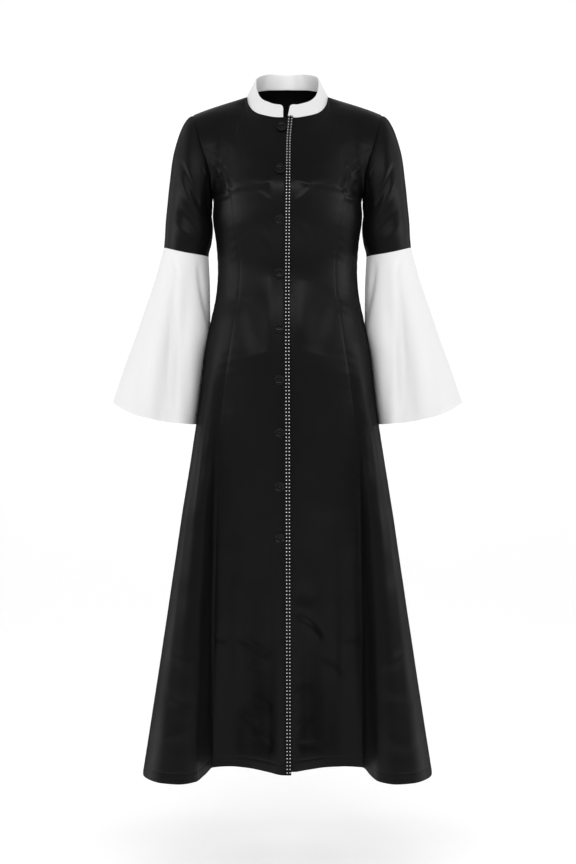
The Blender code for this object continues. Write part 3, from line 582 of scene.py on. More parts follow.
# How far from an edge the creases and swells fade, the fuller corner of a cuff, how deep and wide a
# seam lies, the puckers beside it, how flat the front opening is, and the groove of a hem's stitches.
FADE_RISE = 0.05
SWELL_FADE = 0.02
FADE_AT_SIDE = 0.10
FADE_AT_ARMHOLE = 0.24
FADE_AT_TOP = 0.10
FADE_AT_CUFF = 0.08
CUFF_CORNER = 0.009
CUFF_CORNER_TURN = 0.385
CUFF_CORNER_WIDTH = 0.075
CUFF_CORNER_START = 0.05
CUFF_CORNER_RISE = 0.5
CUFF_SOFT_EDGE = 0.0003
SEAM_DEPTH = 0.0005
SEAM_WIDTH = 0.0026
SEAM_END_FADE = 0.06
PUCKER_HEIGHT = 0.00035
PUCKER_START = 0.004
PUCKER_REACH = 0.016
PUCKER_PITCH = 0.021
PUCKER_SWING = 0.4
PUCKER_SPELL = 0.1113
PUCKER_SHIFT = 2.0
PUCKER_SHIFT_SPELL = 2.0 * math.pi / 19.0
OPENING_MIDDLE = -0.0085
OPENING_FLAT = 0.0195
OPENING_FADE = 0.009
HEM_GROOVE = 0.0005
HEM_GROOVE_WIDTH = 0.0018

# The floor, its rounded corner and the wall behind it, and the place of the camera.
FLOOR_SCALE = (9.0, 6.0, 1.0)
FLOOR_MIDDLE = -3.0
WALL_START = 3.0
CORNER_RADIUS = 1.2
CORNER_STEPS = 16
WALL_HEIGHT = 6.0
CAMERA_PLACE = (0.001, -3.0, -0.672)

# The softboxes, of which the side ones have mirror images, and where they point. Then the narrow lamp
# over the neck: its place, its aim and its size.
Softbox = namedtuple("Softbox", ("place", "size"))
FRONT_SOFTBOX = Softbox((0.0, -2.92, 0.75), (3.4, 0.6))
SIDE_SOFTBOX = Softbox((3.10, -0.55, 0.0), (1.4, 0.8))
HIGH_SOFTBOX = Softbox((2.67, -0.47, 1.15), (1.4, 0.8))
LIGHT_AIM = (0.0, 0.0, -0.55)
NECK_LAMP_PLACE = (0.0, -0.75, 1.30)
NECK_LAMP_AIM = (0.0, 0.045, 0.030)
NECK_LAMP_RADIUS = 0.04

# Below the underarm the cloth of body and sleeve swells towards the gap between them: how far, at what
# height, over what height and round how much of the body or the arm.
Swell = namedtuple("Swell", ("depth", "height", "reach", "round"))
BODY_SWELL = Swell(0.0030, -0.248, 0.030, 0.30)
SLEEVE_SWELL = Swell(0.0072, -0.262, 0.044, 0.13)

# The satin's warp runs up the robe, so that its shine spreads across it.
SATIN_IOR = 1.2
SATIN_STRETCH = 0.8
SATIN_EDGE_ROUGHNESS = 0.45

# The yarns that run across a cloth and along it: their pitch, their relief and how strongly it shows.
Yarn = namedtuple("Yarn", ("pitch", "relief", "strength"))
SATIN_WEFT = Yarn(0.00042, 0.00004, 0.35)
SATIN_WARP = Yarn(0.00090, 0.00003, 0.25)
CREPE_WEFT = Yarn(0.00050, 0.00006, 0.35)
CREPE_WARP = Yarn(0.00055, 0.00006, 0.30)
TAPE_RIBS = Yarn(0.0011, 0.00020, 0.5)
TAPE_WARP = Yarn(0.00060, 0.00008, 0.4)

# Flat sizes of the cut pieces.
Cut = namedtuple("Cut", ("width", "length", "area"))
CUTS = {
    "right_front": Cut(0.20, 1.36, 0.193),
    "left_front": Cut(0.21, 1.36, 0.213),
    "side_front": Cut(0.30, 1.24, 0.177),
    "side_back": Cut(0.29, 1.24, 0.194),
    "centre_back": Cut(0.41, 1.40, 0.354),
    "upper_sleeve": Cut(0.34, 0.30, 0.068),
    "cuff": Cut(0.68, 0.36, 0.160),
    "collar": Cut(0.42, 0.042, 0.0132),
    "front_edge_trim": Cut(0.0125, 1.30, 0.0162),
}


def hermite(start, start_slope, end, end_slope, share):
    """A smooth curve between two points with given slopes."""
    left = 1.0 - share
    return (
        start * (1.0 + 2.0 * share) * left**2
        + start_slope * share * left**2
        + end * share**2 * (3.0 - 2.0 * share)
        - end_slope * share**2 * left
    )


class Table:
    """A short table whose columns are read as smooth curves against its first column."""

    def __init__(self, columns, rows):
        ordered = sorted(rows)
        self.keys = np.array([row[0] for row in ordered])
        self.values = {}
        self.slopes = {}
        for index, name in enumerate(columns[1:], start=1):
            values = np.array([row[index] for row in ordered])
            self.values[name] = values
            self.slopes[name] = self.slopes_of(values)

    def slopes_of(self, values):
        """Slopes that never carry the curve past its own points."""
        rises = np.diff(values) / np.diff(self.keys)
        slopes = np.zeros(len(values))
        same_way = rises[:-1] * rises[1:] > 0
        before = rises[:-1][same_way]
        after = rises[1:][same_way]
        slopes[1:-1][same_way] = 2.0 * before * after / (before + after)
        slopes[0] = rises[0]
        slopes[-1] = rises[-1]
        return slopes

    def at(self, name, key):
        """The named column where the first column is key."""
        key = np.clip(key, self.keys[0], self.keys[-1])
        row = np.clip(np.searchsorted(self.keys, key, side="right") - 1, 0, len(self.keys) - 2)
        width = self.keys[row + 1] - self.keys[row]
        share = (key - self.keys[row]) / width
        values = self.values[name]
        slopes = self.slopes[name]
        return hermite(values[row], slopes[row] * width, values[row + 1], slopes[row + 1] * width, share)


BODY = Table(BODY_COLUMNS, BODY_SECTIONS)
HEM = Table(HEM_COLUMNS, HEM_PLAN)
ARMHOLE = Table(ARMHOLE_COLUMNS, ARMHOLE_SIDES)
NECK = Table(NECK_COLUMNS, NECK_LINE)
REACH = {FRONT: Table(REACH_COLUMNS, FRONT_REACH), BACK: Table(REACH_COLUMNS, BACK_REACH)}
LEAVE = Table(LEAVE_COLUMNS, SLEEVE_LEAVE)
CUFF = Table(CUFF_SECTION_COLUMNS, CUFF_SECTIONS)
COLLAR = Table(COLLAR_SECTION_COLUMNS, COLLAR_SECTIONS)
EDGE = Table(EDGE_COLUMNS, FRONT_EDGE)


def points(x, y, z):
    """Stack three arrays of coordinates into one array of points."""
    return np.stack(np.broadcast_arrays(x, y, z), axis=-1).astype(float)


def lengths(vectors):
    """The length of each vector, kept as a last axis of one."""
    return np.linalg.norm(vectors, axis=-1, keepdims=True)


def unit(vectors):
    """Each vector at a length of one."""
    return vectors / np.maximum(lengths(vectors), NO_LENGTH)


def eased(share):
    """A share that starts and ends gently, held between zero and one."""
    share = np.clip(share, 0.0, 1.0)
    return share * share * (3.0 - 2.0 * share)


def hump(away, width):
    """A soft round hump: one at its middle, fading over its width."""
    return np.exp(-((away / width) ** 2))


def run_along(path, axis=0):
    """How far each point lies along a path, or along the rows or the columns of a grid."""
    steps = np.cumsum(lengths(np.diff(path, axis=axis))[..., 0], axis=axis)
    return np.insert(steps, 0, 0.0, axis=axis)


def read_at(place, places, values):
    """A point or direction read between others, which are given with their own places."""
    return np.array([np.interp(place, places, values[:, axis]) for axis in range(3)])


# The robe's surfaces, as its solids have them


def section_angle(share, seam_side, half_width):
    """The angle round an oval section, so that the panel seam falls at a share of a half."""
    seam_angle = np.arcsin(seam_side / half_width)
    return share * math.pi / 2 + (seam_angle - math.pi / 4) * 4.0 * share * (1.0 - share)


def below_underarm(turn, up):
    """Points of the body from the underarm down: an oval that opens into the flutes of the hem."""
    side = np.abs(turn)
    ahead = side <= SIDE_SEAM
    share = np.where(ahead, side, CENTRE_BACK - side)
    height = UNDERARM - (HEM.at("height", side) - UNDERARM) * up
    half_width = BODY.at("half_width", height)
    seam_side = np.where(ahead, BODY.at("front_seam", height), BODY.at("back_seam", height))
    depth = np.where(ahead, -BODY.at("front_depth", height), BODY.at("back_depth", height))
    flare = BODY.at("flare", height)
    angle = section_angle(share, seam_side, half_width)
    hem_seam = np.where(ahead, HEM.at("side", FRONT_PANEL_SEAM), HEM.at("side", BACK_PANEL_SEAM))
    hem_side = HEM.at("side", side)
    hem_edge = HEM.at("side", SIDE_SEAM)
    outer = seam_side + (hem_side - hem_seam) * (half_width - seam_side) / (hem_edge - hem_seam)
    inner = hem_side * seam_side / hem_seam
    fluted = np.where(share < FRONT_PANEL_SEAM, inner, outer)
    x = (1.0 - flare) * half_width * np.sin(angle) + flare * fluted
    y = (1.0 - flare) * depth * np.cos(angle) + flare * HEM.at("ahead", side)
    return points(np.sign(turn) * x, y, height)


def neckline(angle):
    """A point of the neckline, by degrees from the centre front, negative on the wearer's right."""
    away = np.abs(angle)
    radians = np.radians(away)
    depth = np.where(away < 90.0, NECK_FRONT, NECK_BACK)
    x = np.sign(angle) * NECK_SIDE * np.sin(radians)
    y = SHOULDER_NECK_Y - (depth + np.where(away < 90.0, 1, -1) * SHOULDER_NECK_Y) * np.cos(radians)
    return points(x, y, NECK.at("height", away))


def shoulder_seam(share):
    """A point of the left shoulder seam, from the neck to the sleeve."""
    end_x, end_y, end_z = SHOULDER_END
    neck_z = NECK.at("height", 90.0)
    x = NECK_SIDE + (end_x - NECK_SIDE) * share
    y = SHOULDER_NECK_Y + (end_y - SHOULDER_NECK_Y) * share
    z = neck_z + (end_z - neck_z) * share + SHOULDER_ROUNDING * np.sin(math.pi * share) * share
    return points(x, y, z)


def top_edge(face, share):
    """Neckline, then shoulder seam, of the left front or the left back."""
    neck_share = np.clip(share / NECK_SHARE, 0.0, 1.0)
    angle = 90.0 * neck_share
    neck = neckline(angle if face == FRONT else 180.0 - angle)
    seam = shoulder_seam(np.clip((share - NECK_SHARE) / (1.0 - NECK_SHARE), 0.0, 1.0))
    return np.where((share <= NECK_SHARE)[..., None], neck, seam)


def armhole(turn):
    """A point of the left armhole: turn 0 at the shoulder, 0.25 front, 0.5 underarm, 0.75 back."""
    top = SHOULDER_END[2]
    middle = (top + UNDERARM) / 2
    half = (top - UNDERARM) / 2
    angle = 2.0 * math.pi * turn
    height = middle + half * np.cos(angle)
    y = SHOULDER_END[1] * (1.0 + np.cos(angle)) / 2 - ARMHOLE_DEPTH * np.sin(angle)
    return points(ARMHOLE.at("side", height), y, height)


def rising_column(face, side, share, up):
    """Points of a column that rises from the underarm level to the top edge."""
    start = below_underarm(side, np.zeros_like(up))
    lower = below_underarm(side, np.full_like(up, -STEP))
    end = top_edge(face, share)
    reach = lengths(end - start)
    outward, inward, upward, hold = (REACH[face].at(name, share) for name in REACH_COLUMNS[1:])
    arrival = points(outward, -face * inward, upward)
    hold = hold[..., None]
    return hermite(start, unit(start - lower) * reach, end, unit(arrival) * reach * hold, up[..., None])


def above_underarm(face, turn, up):
    """Points of the left chest or back from the underarm to the neckline and shoulder seam."""
    side = np.clip(turn, 0.0, SIDE_SEAM) if face == FRONT else np.clip(turn, SIDE_SEAM, CENTRE_BACK)
    share = side if face == FRONT else CENTRE_BACK - side
    column = rising_column(face, side, share, up)
    edge = rising_column(face, np.full_like(side, SIDE_SEAM), np.ones_like(side), up)
    hole = armhole(0.5 * (1.0 - up) if face == FRONT else 0.5 * (1.0 + up))
    return column + (share**ARMHOLE_PULL)[..., None] * (hole - edge)


def body(face, turn, up):
    """Points of the robe's outer face for shares round and up the body."""
    turn, up = np.broadcast_arrays(np.asarray(turn, float), np.asarray(up, float))
    below = below_underarm(turn, np.minimum(up, 0.0))
    above = above_underarm(face, np.abs(turn), np.clip(up, 0.0, 1.0))
    above[..., 0] *= np.where(turn < 0, -1.0, 1.0)
    return np.where((up > 0)[..., None], above, below)


def body_normals(face, turn, up):
    """Outward directions of the body at shares round and up."""
    turn, up = np.broadcast_arrays(np.asarray(turn, float), np.asarray(up, float))
    limit = np.where((up > 0) & (face == FRONT), SIDE_SEAM, np.inf)
    floor = np.where((up > 0) & (face == BACK), SIDE_SEAM, 0.0)
    size = np.abs(turn)
    sign = np.where(turn < 0, -1.0, 1.0)
    more = np.where(floor > 0, np.maximum(size + STEP, floor), np.minimum(size + STEP, limit))
    less = np.where(floor > 0, np.maximum(size - STEP, floor), size - STEP)
    more = np.where(more > CENTRE_BACK, CENTRE_BACK, more)
    round_way = body(face, sign * more, up) - body(face, sign * less, up)
    upper = np.minimum(up + STEP, 1.0)
    lower = np.maximum(up - STEP, -1.0)
    up_way = body(face, turn, upper) - body(face, turn, lower)
    normals = unit(np.cross(round_way, up_way)) * sign[..., None]
    at_back = size >= CENTRE_BACK - TINY
    normals[at_back, 0] = 0.0
    return unit(normals)


def panel_seam(face, up):
    """Where a panel seam runs: straight up the body, then round into the armhole."""
    start = FRONT_PANEL_SEAM if face == FRONT else BACK_PANEL_SEAM
    return start + (SIDE_SEAM - start) * np.clip(up / PRINCESS_TOP, 0.0, 1.0) ** PRINCESS_BEND


def turn_at_side(side, up):
    """The share round the front at which its outer face lies side metres from the centre line."""
    shares = np.linspace(*SEARCHED_SHARES)
    rows = body(FRONT, shares[None, :], up[:, None])[..., 0]
    return np.array([np.interp(target, row, shares) for target, row in zip(side, rows)])


def ring_point(turn, row, share):
    """A point of a sleeve ring: turn 0 is its outer side, 0.25 front, 0.5 inner and 0.75 back."""
    angle = 2.0 * math.pi * turn
    inner, outer = row("inner"), row("outer")
    front, back = row("front"), row("back")
    x = (inner + outer) / 2 + (outer - inner) / 2 * np.cos(angle)
    y = (front + back) / 2 - (back - front) / 2 * np.sin(angle)
    inner_z = ELBOW_INNER + (CUFF_HEM_INNER - ELBOW_INNER) * share
    outer_z = ELBOW_OUTER + (CUFF_HEM_OUTER - ELBOW_OUTER) * share
    across = np.clip((x - inner) / (outer - inner), 0.0, 1.0)
    return points(x, y, inner_z + (outer_z - inner_z) * across**CUFF_SLANT_BEND)


def left_cuff(turn, share):
    """Points of the left bell cuff: share 0 at the elbow seam, 1 at the hem."""
    def row(name):
        return CUFF.at(name, share)

    surface = ring_point(turn, row, share)
    centre = points((row("inner") + row("outer")) / 2, (row("front") + row("back")) / 2, surface[..., 2])
    swell = np.zeros_like(turn)
    for fold in CUFF_FOLDS:
        swell = swell + fold.depth * hump(turn % 1.0 - fold.turn, fold.width)
    return surface + unit(surface - centre) * (swell * row("fold"))[..., None]


def left_sleeve(turn, down):
    """Points of the left upper sleeve: down 0 at the armhole, 1 at the elbow seam."""
    at_elbow = np.zeros_like(turn)
    end = ring_point(turn, lambda name: CUFF.at(name, at_elbow), 0.0)
    away = (1.0 - np.cos(2.0 * math.pi * turn)) / 2
    start = armhole(turn) + points(away * UNDERARM_GAP, 0.0, 0.0)
    folded = np.minimum(turn % 1.0, 1.0 - turn % 1.0)
    ahead = np.where(turn % 1.0 < 0.5, -1.0, 1.0)
    spread = ahead * LEAVE.at("spread", folded)
    leave = points(LEAVE.at("outward", folded), spread, LEAVE.at("upward", folded))
    arrive = np.array(SLEEVE_DOWN) * SLEEVE_DOWN_LENGTH
    return hermite(start, unit(leave) * SLEEVE_LEAVE_LENGTH, end, arrive, down[..., None])


def tube_normals(surface, turn, share):
    """Outward directions of a left sleeve's surface."""
    round_way = surface(turn + STEP, share) - surface(turn - STEP, share)
    down_way = surface(turn, np.minimum(share + STEP, 1.0)) - surface(turn, np.maximum(share - STEP, 0.0))
    return unit(np.cross(round_way, down_way))


def collar_point(angle, lift):
    """A point of the collar's outer face, lift metres up from the neckline."""
    away = np.minimum(angle, 360.0 - angle)
    base = neckline(np.where(angle > 180.0, angle - 360.0, angle))
    radians = np.radians(angle)
    lean = COLLAR.at("lean", away)
    rise = points(-np.sin(radians) * lean, np.cos(radians) * lean, np.sqrt(1.0 - lean**2))
    return base + rise * np.asarray(lift)[..., None]


# Creases, seams and hems


def creased(creases, across, along):
    """How far the creases lift or sink the cloth at places across and along it."""
    height = np.zeros_like(across)
    for crease in creases:
        run = np.array([crease.to_across - crease.across, crease.to_along - crease.along])
        length = np.hypot(*run)
        run = run / length
        off_across, off_along = across - crease.across, along - crease.along
        run_share = (off_across * run[0] + off_along * run[1]) / length
        share = np.clip(run_share, 0.0, 1.0)
        bow = crease.bow * 4.0 * share * (1.0 - share)
        beside = off_along * run[0] - off_across * run[1] - bow
        beyond = (run_share - share) * length
        taper = np.sin(math.pi * share) ** CREASE_TAPER
        height += crease.height * taper * np.exp(-(beside**2 + beyond**2) / crease.width**2)
    return height


def waved(across, along):
    """The satin's soft waves, between about -1 and 1."""
    wave = np.zeros_like(across)
    for part in SATIN_WAVES:
        wave += part.share * np.sin(2.0 * math.pi * (across * part.across + along * part.along) + part.start)
    return wave


def swollen(swell, away, height):
    """How far cloth swells towards the underarm's gap, by its share away from the middle of the swell."""
    beside = hump(away, swell.round) * eased(2.0 - np.abs(away) / swell.round)
    return swell.depth * beside * hump(height - swell.height, swell.reach)


def rounded_body(face, turn, up):
    """The body's outer face, averaged over a small patch that closes at the armhole, hem and neck."""
    turn, up = np.broadcast_arrays(np.asarray(turn, float), np.asarray(up, float))
    size = np.abs(turn)
    rise = np.where(up < 0, up * SKIRT_RISE, up * CHEST_RISE)
    to_edge = np.minimum(rise + SKIRT_RISE, CHEST_RISE - rise)
    beside_armhole = 1.0 - eased(np.abs(SIDE_SEAM - size) / PATCH_FADE_SIDE)
    open_patch = 1.0 - beside_armhole * eased(1.0 + rise / PATCH_HEIGHT)
    reach = np.minimum(PATCH_HEIGHT, PATCH_EDGE_SHARE * to_edge) * open_patch
    round_reach = eased(up / PATCH_FADE_UP) * eased((1.0 - up) / PATCH_FADE_TOP) * (1.0 - beside_armhole)
    round_reach = PATCH_TURN * round_reach * eased((CENTRE_BACK - size) / PATCH_FADE_BACK)
    total, weights = 0.0, 0.0
    for share, weight in PATCH:
        moved = rise + share * reach
        moved_up = np.where(moved < 0, moved / SKIRT_RISE, moved / CHEST_RISE)
        for round_share, round_weight in PATCH_ROUND:
            both = weight * round_weight
            total = total + both * body(face, turn + round_share * round_reach, moved_up)
            weights += both
    return total / weights


def body_relief(face, turn, up, surface):
    """How far the creases and waves of the body lift its outer face."""
    cloth = bpy.context.scene.robe_cloth
    across, along = surface[..., 0], surface[..., 2]
    creases = FRONT_CREASES if face == FRONT else BACK_CREASES
    height = cloth.crease_depth * creased(creases, across, along) + cloth.wave_depth * waved(across, along)
    side = np.abs(turn)
    wider = np.exp(np.minimum(up, 0.0) / FADE_RISE)
    fade = FADE_AT_SIDE + (FADE_AT_ARMHOLE - FADE_AT_SIDE) * wider
    height = height * eased(np.abs(SIDE_SEAM - side) / fade) * eased((1.0 - up) / FADE_AT_TOP)
    if face == FRONT:
        height = height * eased((np.abs(across - OPENING_MIDDLE) - OPENING_FLAT) / OPENING_FADE)
    return height + swollen(BODY_SWELL, side - SIDE_SEAM, along) * eased(-up / SWELL_FADE)


def hem_groove(above_edge, hem):
    """The shallow groove of a hem's stitches, at distances above the edge."""
    return -HEM_GROOVE * hump(above_edge - hem, HEM_GROOVE_WIDTH)


def seam_relief(outer, ups, seams):
    """The dip of the cloth into its sewn edges, and the puckers beside them. seams names the edges
    that are sewn, the first or the last column, and the share up to which each is."""
    relief = np.zeros(outer.shape[:2])
    from_first = run_along(outer, axis=1)
    along = run_along(outer) * 2.0 * math.pi
    for seam, end in seams.items():
        away = from_first if seam == "first" else from_first[:, -1:] - from_first
        sewn = eased((end - ups) / SEAM_END_FADE)[:, None]
        relief -= SEAM_DEPTH * sewn * hump(away, SEAM_WIDTH)
        strength = 1.0 - PUCKER_SWING * (1.0 - np.sin(along / PUCKER_SPELL))
        pucker = np.sin(along / PUCKER_PITCH + PUCKER_SHIFT * np.sin(along / PUCKER_SHIFT_SPELL)) * sewn
        beside = np.exp(-away / PUCKER_REACH) * eased(away / PUCKER_START)
        relief += PUCKER_HEIGHT * strength * pucker * beside
    return relief


def fine_rows(top_share):
    """The up shares of a panel's rows, hem first, to the given share above the underarm."""
    rows = np.concatenate([
        np.linspace(-1.0, HEM_BAND - 1.0, HEM_ROWS, endpoint=False),
        np.linspace(HEM_BAND - 1.0, HIP_SHARE, SKIRT_ROWS, endpoint=False),
        np.linspace(HIP_SHARE, 0.0, WAIST_ROWS, endpoint=False),
        np.linspace(0.0, PRINCESS_TIP, CHEST_ROWS),
        np.linspace(PRINCESS_TOP, 1.0, SHOULDER_ROWS),
    ])
    return rows[rows <= top_share + TINY]


def drawn_in(grid):
    """Pull the four edges of a panel in by half the sewn gap, along the panel."""
    moved = grid.copy()
    for edge, inner in ((0, 1), (-1, -2)):
        moved[:, edge] += unit(grid[:, inner] - grid[:, edge]) * SEWN_GAP / 2
        moved[edge] += unit(grid[inner] - grid[edge]) * SEWN_GAP / 2
    return moved


def spread_columns(start, seam, ups):
    """Shares of a panel's columns from its first column to its seam. On the neckline and shoulder
    a column runs to the neck end of the shoulder seam."""
    count = np.arange(FRONT_COLUMNS + 1)
    neck_columns = FRONT_COLUMNS - SHOULDER_COLUMNS
    start, seam = start[:, None], seam[:, None]
    level = start + (seam - start) * count / FRONT_COLUMNS
    to_neck = start + (NECK_SHARE - start) * count / neck_columns
    to_sleeve = NECK_SHARE + (seam - NECK_SHARE) * (count - neck_columns) / SHOULDER_COLUMNS
    top = np.where(count <= neck_columns, to_neck, to_sleeve)
    climb = np.clip(ups, 0.0, 1.0)[:, None]
    return level + (top - level) * climb


# Making pieces


def plain_object(name, mesh):
    """An object at the origin, from a bmesh."""
    thing = bpy.data.objects.new(name, bpy.data.meshes.new(name))
    mesh.to_mesh(thing.data)
    mesh.free()
    bpy.context.scene.collection.objects.link(thing)
    return thing


def settle(name, mesh, material, angle=SHARP_ANGLE):
    """A finished piece at the origin, from a bmesh."""
    piece = plain_object(name, mesh)
    piece.data.shade_smooth()
    piece.data.set_sharp_from_angle(angle=angle)
    piece.data.materials.append(material)
    return piece


def finished_mesh(thing):
    """The mesh that a thing's modifiers make of it."""
    graph = bpy.context.evaluated_depsgraph_get()
    return bpy.data.meshes.new_from_object(thing.evaluated_get(graph))


def give_wall(piece, thickness, soft_edge):
    """Give a cloth piece its thickness, inwards, and softened edges where they are asked for."""
    wall = piece.modifiers.new("wall", "SOLIDIFY")
    wall.thickness = thickness
    wall.offset = -1.0
    wall.use_quality_normals = True
    if soft_edge:
        rim = piece.modifiers.new("soft edge", "BEVEL")
        rim.width = soft_edge
        rim.segments = 2
        rim.limit_method = "ANGLE"
        rim.angle_limit = RIM_ANGLE
    flat = piece.data
    piece.data = finished_mesh(piece)
    piece.modifiers.clear()
    bpy.data.meshes.remove(flat)
    piece.data.shade_smooth()
    piece.data.set_sharp_from_angle(angle=SHARP_ANGLE)


def cloth_piece(name, outer, thickness, material, closed=False, soft_edge=0.0):
    """A thin cloth piece from a grid of points whose rows rise and whose columns run to the right as
    seen from outside. On a closed piece the last column lies on the first. Its wall goes inwards."""
    rows, columns = outer.shape[:2]
    mesh = bmesh.new()
    bmesh.ops.create_grid(mesh, x_segments=columns - 1, y_segments=rows - 1, size=1.0)
    mesh.verts.ensure_lookup_table()
    for vertex, place in zip(mesh.verts, outer.reshape(-1, 3)):
        vertex.co = place
    across = run_along(outer[rows // 3])
    along = run_along(outer[:, columns // 2])
    places = mesh.loops.layers.uv.new("cloth")
    for face in mesh.faces:
        for loop in face.loops:
            row, column = divmod(loop.vert.index, columns)
            loop[places].uv = (across[column], along[row])
    if closed:
        bmesh.ops.remove_doubles(mesh, verts=mesh.verts, dist=WELD)
    piece = settle(name, mesh, material)
    give_wall(piece, thickness, soft_edge)
    return piece


def own(piece, node, cut=None):
    """Give a piece its body and hide the solid that it stands for, where one is named. The cut, the flat size
    of cloth, is not used.
    """
    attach(piece, "root")
    if node:
        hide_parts(node)


def outer_body(face, turns, ups, sink=0.0):
    """The creased outer face of the body over a grid of shares, and its outward directions."""
    surface = rounded_body(face, turns, ups)
    normals = body_normals(face, turns, ups)
    relief = body_relief(face, turns, ups, surface) - sink
    return surface + normals * relief[..., None], normals


def satin_panel(name, face, turns, ups, seams, rows=None, sink=0.0):
    """One panel of the body over a grid of shares round and up, with its seams and its hem's groove.
    Where rows is given, it holds the shares up of every point."""
    outer, normals = outer_body(face, turns, ups[:, None] if rows is None else rows, sink)
    relief = seam_relief(outer, ups, seams) + hem_groove(run_along(outer), BODY_HEM)
    outer = drawn_in(outer + normals * relief[..., None])
    thickness = bpy.context.scene.robe_cloth.satin_thickness
    return cloth_piece(name, outer, thickness, bpy.data.materials["black satin"])


def opening_columns(side, ups):
    """Shares round the body of a centre front's strip beside the opening, free edge first."""
    if side == RIGHT:
        first, last, count = front_edge(ups), LAP_UNDER, LAP_COLUMNS
    else:
        first, last, count = np.full_like(ups, LAP_UNDER), LAP_RETURN, 2 * LAP_COLUMNS
    steps = np.linspace(0.0, 1.0, count)
    return np.stack([turn_at_side(first + (last - first) * step, ups) for step in steps], axis=1)


def front_edge(ups):
    """How far the overlapping front edge lies from the centre line at each row."""
    return EDGE.at("side", body(FRONT, np.zeros_like(ups), ups)[:, 2])


def centre_front(side, name):
    """A centre front. The wearer's right one laps over the left one, which sinks under it."""
    ups = fine_rows(1.0)
    strip = opening_columns(side, ups)
    rest = side * spread_columns(side * strip[:, -1], panel_seam(FRONT, ups), ups)[:, 1:]
    turns = np.concatenate([strip, rest], axis=1)
    if side == RIGHT:
        return satin_panel(name, FRONT, turns[:, ::-1], ups, {"first": PRINCESS_TOP})
    lift = LEFT_HEM_LIFT * np.clip(1.0 - turns / LEFT_HEM_REACH, 0.0, 1.0)
    rows = ups[:, None] + lift * np.clip((LEFT_HEM_RISE - 1.0 - ups[:, None]) / LEFT_HEM_RISE, 0.0, 1.0)
    sides = body(FRONT, turns, rows)[..., 0]
    edge = front_edge(ups)[:, None] + LAP_CLEAR
    depth = bpy.context.scene.robe_cloth.satin_thickness + LAP_GAP
    sink = depth * eased((LAP_RETURN - sides) / (LAP_RETURN - edge))
    return satin_panel(name, FRONT, turns, ups, {"last": PRINCESS_TOP}, rows, sink)


def side_panel(side, face, name):
    """A side front or side back, which ends in a point at the armhole."""
    ups = np.concatenate([fine_rows(PRINCESS_TIP), TIP_ROWS])
    seam = panel_seam(face, ups)[:, None]
    turns = side * (seam + (SIDE_SEAM - seam) * np.linspace(0.0, 1.0, SIDE_COLUMNS + 1))
    if (side == RIGHT) == (face == FRONT):
        return satin_panel(name, face, turns[:, ::-1], ups, {"first": 0.0, "last": PRINCESS_TOP})
    return satin_panel(name, face, turns, ups, {"first": PRINCESS_TOP, "last": 0.0})


def centre_back_panel(name):
    """The centre back, cut on the fold."""
    ups = fine_rows(1.0)
    seam = CENTRE_BACK - panel_seam(BACK, ups)
    left = (CENTRE_BACK - spread_columns(np.zeros_like(ups), seam, ups))[:, ::-1]
    turns = np.concatenate([left, -left[:, -2::-1]], axis=1)
    return satin_panel(name, BACK, turns, ups, {"first": PRINCESS_TOP, "last": PRINCESS_TOP})


def tube_piece(name, side, surface, counts, relief, thickness, material, soft_edge=0.0, tuck=0.0):
    """A sleeve piece: a tube round the arm, open at both ends, with its counts of columns and rows. Its
    upper end starts half a gap below the seam, or where a tuck is given, that far past the seam and
    under the cloth above."""
    turn, share = np.meshgrid(*(np.linspace(0.0, 1.0, count + 1) for count in counts))
    outer = surface(turn, share)
    outer = outer + tube_normals(surface, turn, share) * relief(turn, share, outer)[..., None]
    outer[0] += unit(outer[1] - outer[0]) * (-tuck if tuck else ELBOW_GAP / 2)
    outer[-1] += unit(outer[-2] - outer[-1]) * ELBOW_GAP / 2
    if side == RIGHT:
        outer = (outer * np.array([-1.0, 1.0, 1.0]))[:, ::-1]
    return cloth_piece(name, outer, thickness, material, closed=True, soft_edge=soft_edge)


def sleeve_relief(side):
    """The creases of one upper sleeve."""
    cloth = bpy.context.scene.robe_cloth
    shift, depth = SLEEVE_UNLIKE if side == LEFT else (0.0, 1.0)

    def relief(turn, down, outer):
        across, along = turn * SLEEVE_GIRTH, shift - down * SLEEVE_LENGTH
        height = creased(SLEEVE_CREASES, across, along) * depth * cloth.crease_depth
        height = height + cloth.wave_depth * waved(outer[..., 0], outer[..., 2])
        height = height + swollen(SLEEVE_SWELL, turn - 0.5, outer[..., 2])
        height = height * eased(down / FADE_AT_TOP) * eased((1.0 - down) / FADE_AT_TOP)
        return height - (cloth.satin_thickness + SEAM_GAP) * (1.0 - eased(down / SLEEVE_TUCK_SHARE))

    return relief


def cuff_relief(side):
    """The upright folds of one cuff, before and behind, its fuller front corner beside the robe and
    its hem's groove."""
    depth = bpy.context.scene.robe_cloth.cuff_depth
    shift = CUFF_UNLIKE if side == LEFT else 0.0

    def relief(turn, share, outer):
        ahead = np.sin(2.0 * math.pi * turn) / CUFF_FACING
        across, along = outer[..., 0], outer[..., 2]
        height = creased(CUFF_CREASES, across + shift, along) * eased(ahead)
        height = height + creased(CUFF_CREASES, across - CUFF_BACK_SHIFT, along) * eased(-ahead)
        height = height * depth * eased(share / FADE_AT_CUFF)
        corner = CUFF_CORNER * hump(turn - CUFF_CORNER_TURN, CUFF_CORNER_WIDTH)
        height = height + corner * eased((share - CUFF_CORNER_START) / CUFF_CORNER_RISE)
        return height + hem_groove((1.0 - share) * CUFF_LENGTH, CUFF_HEM)

    return relief


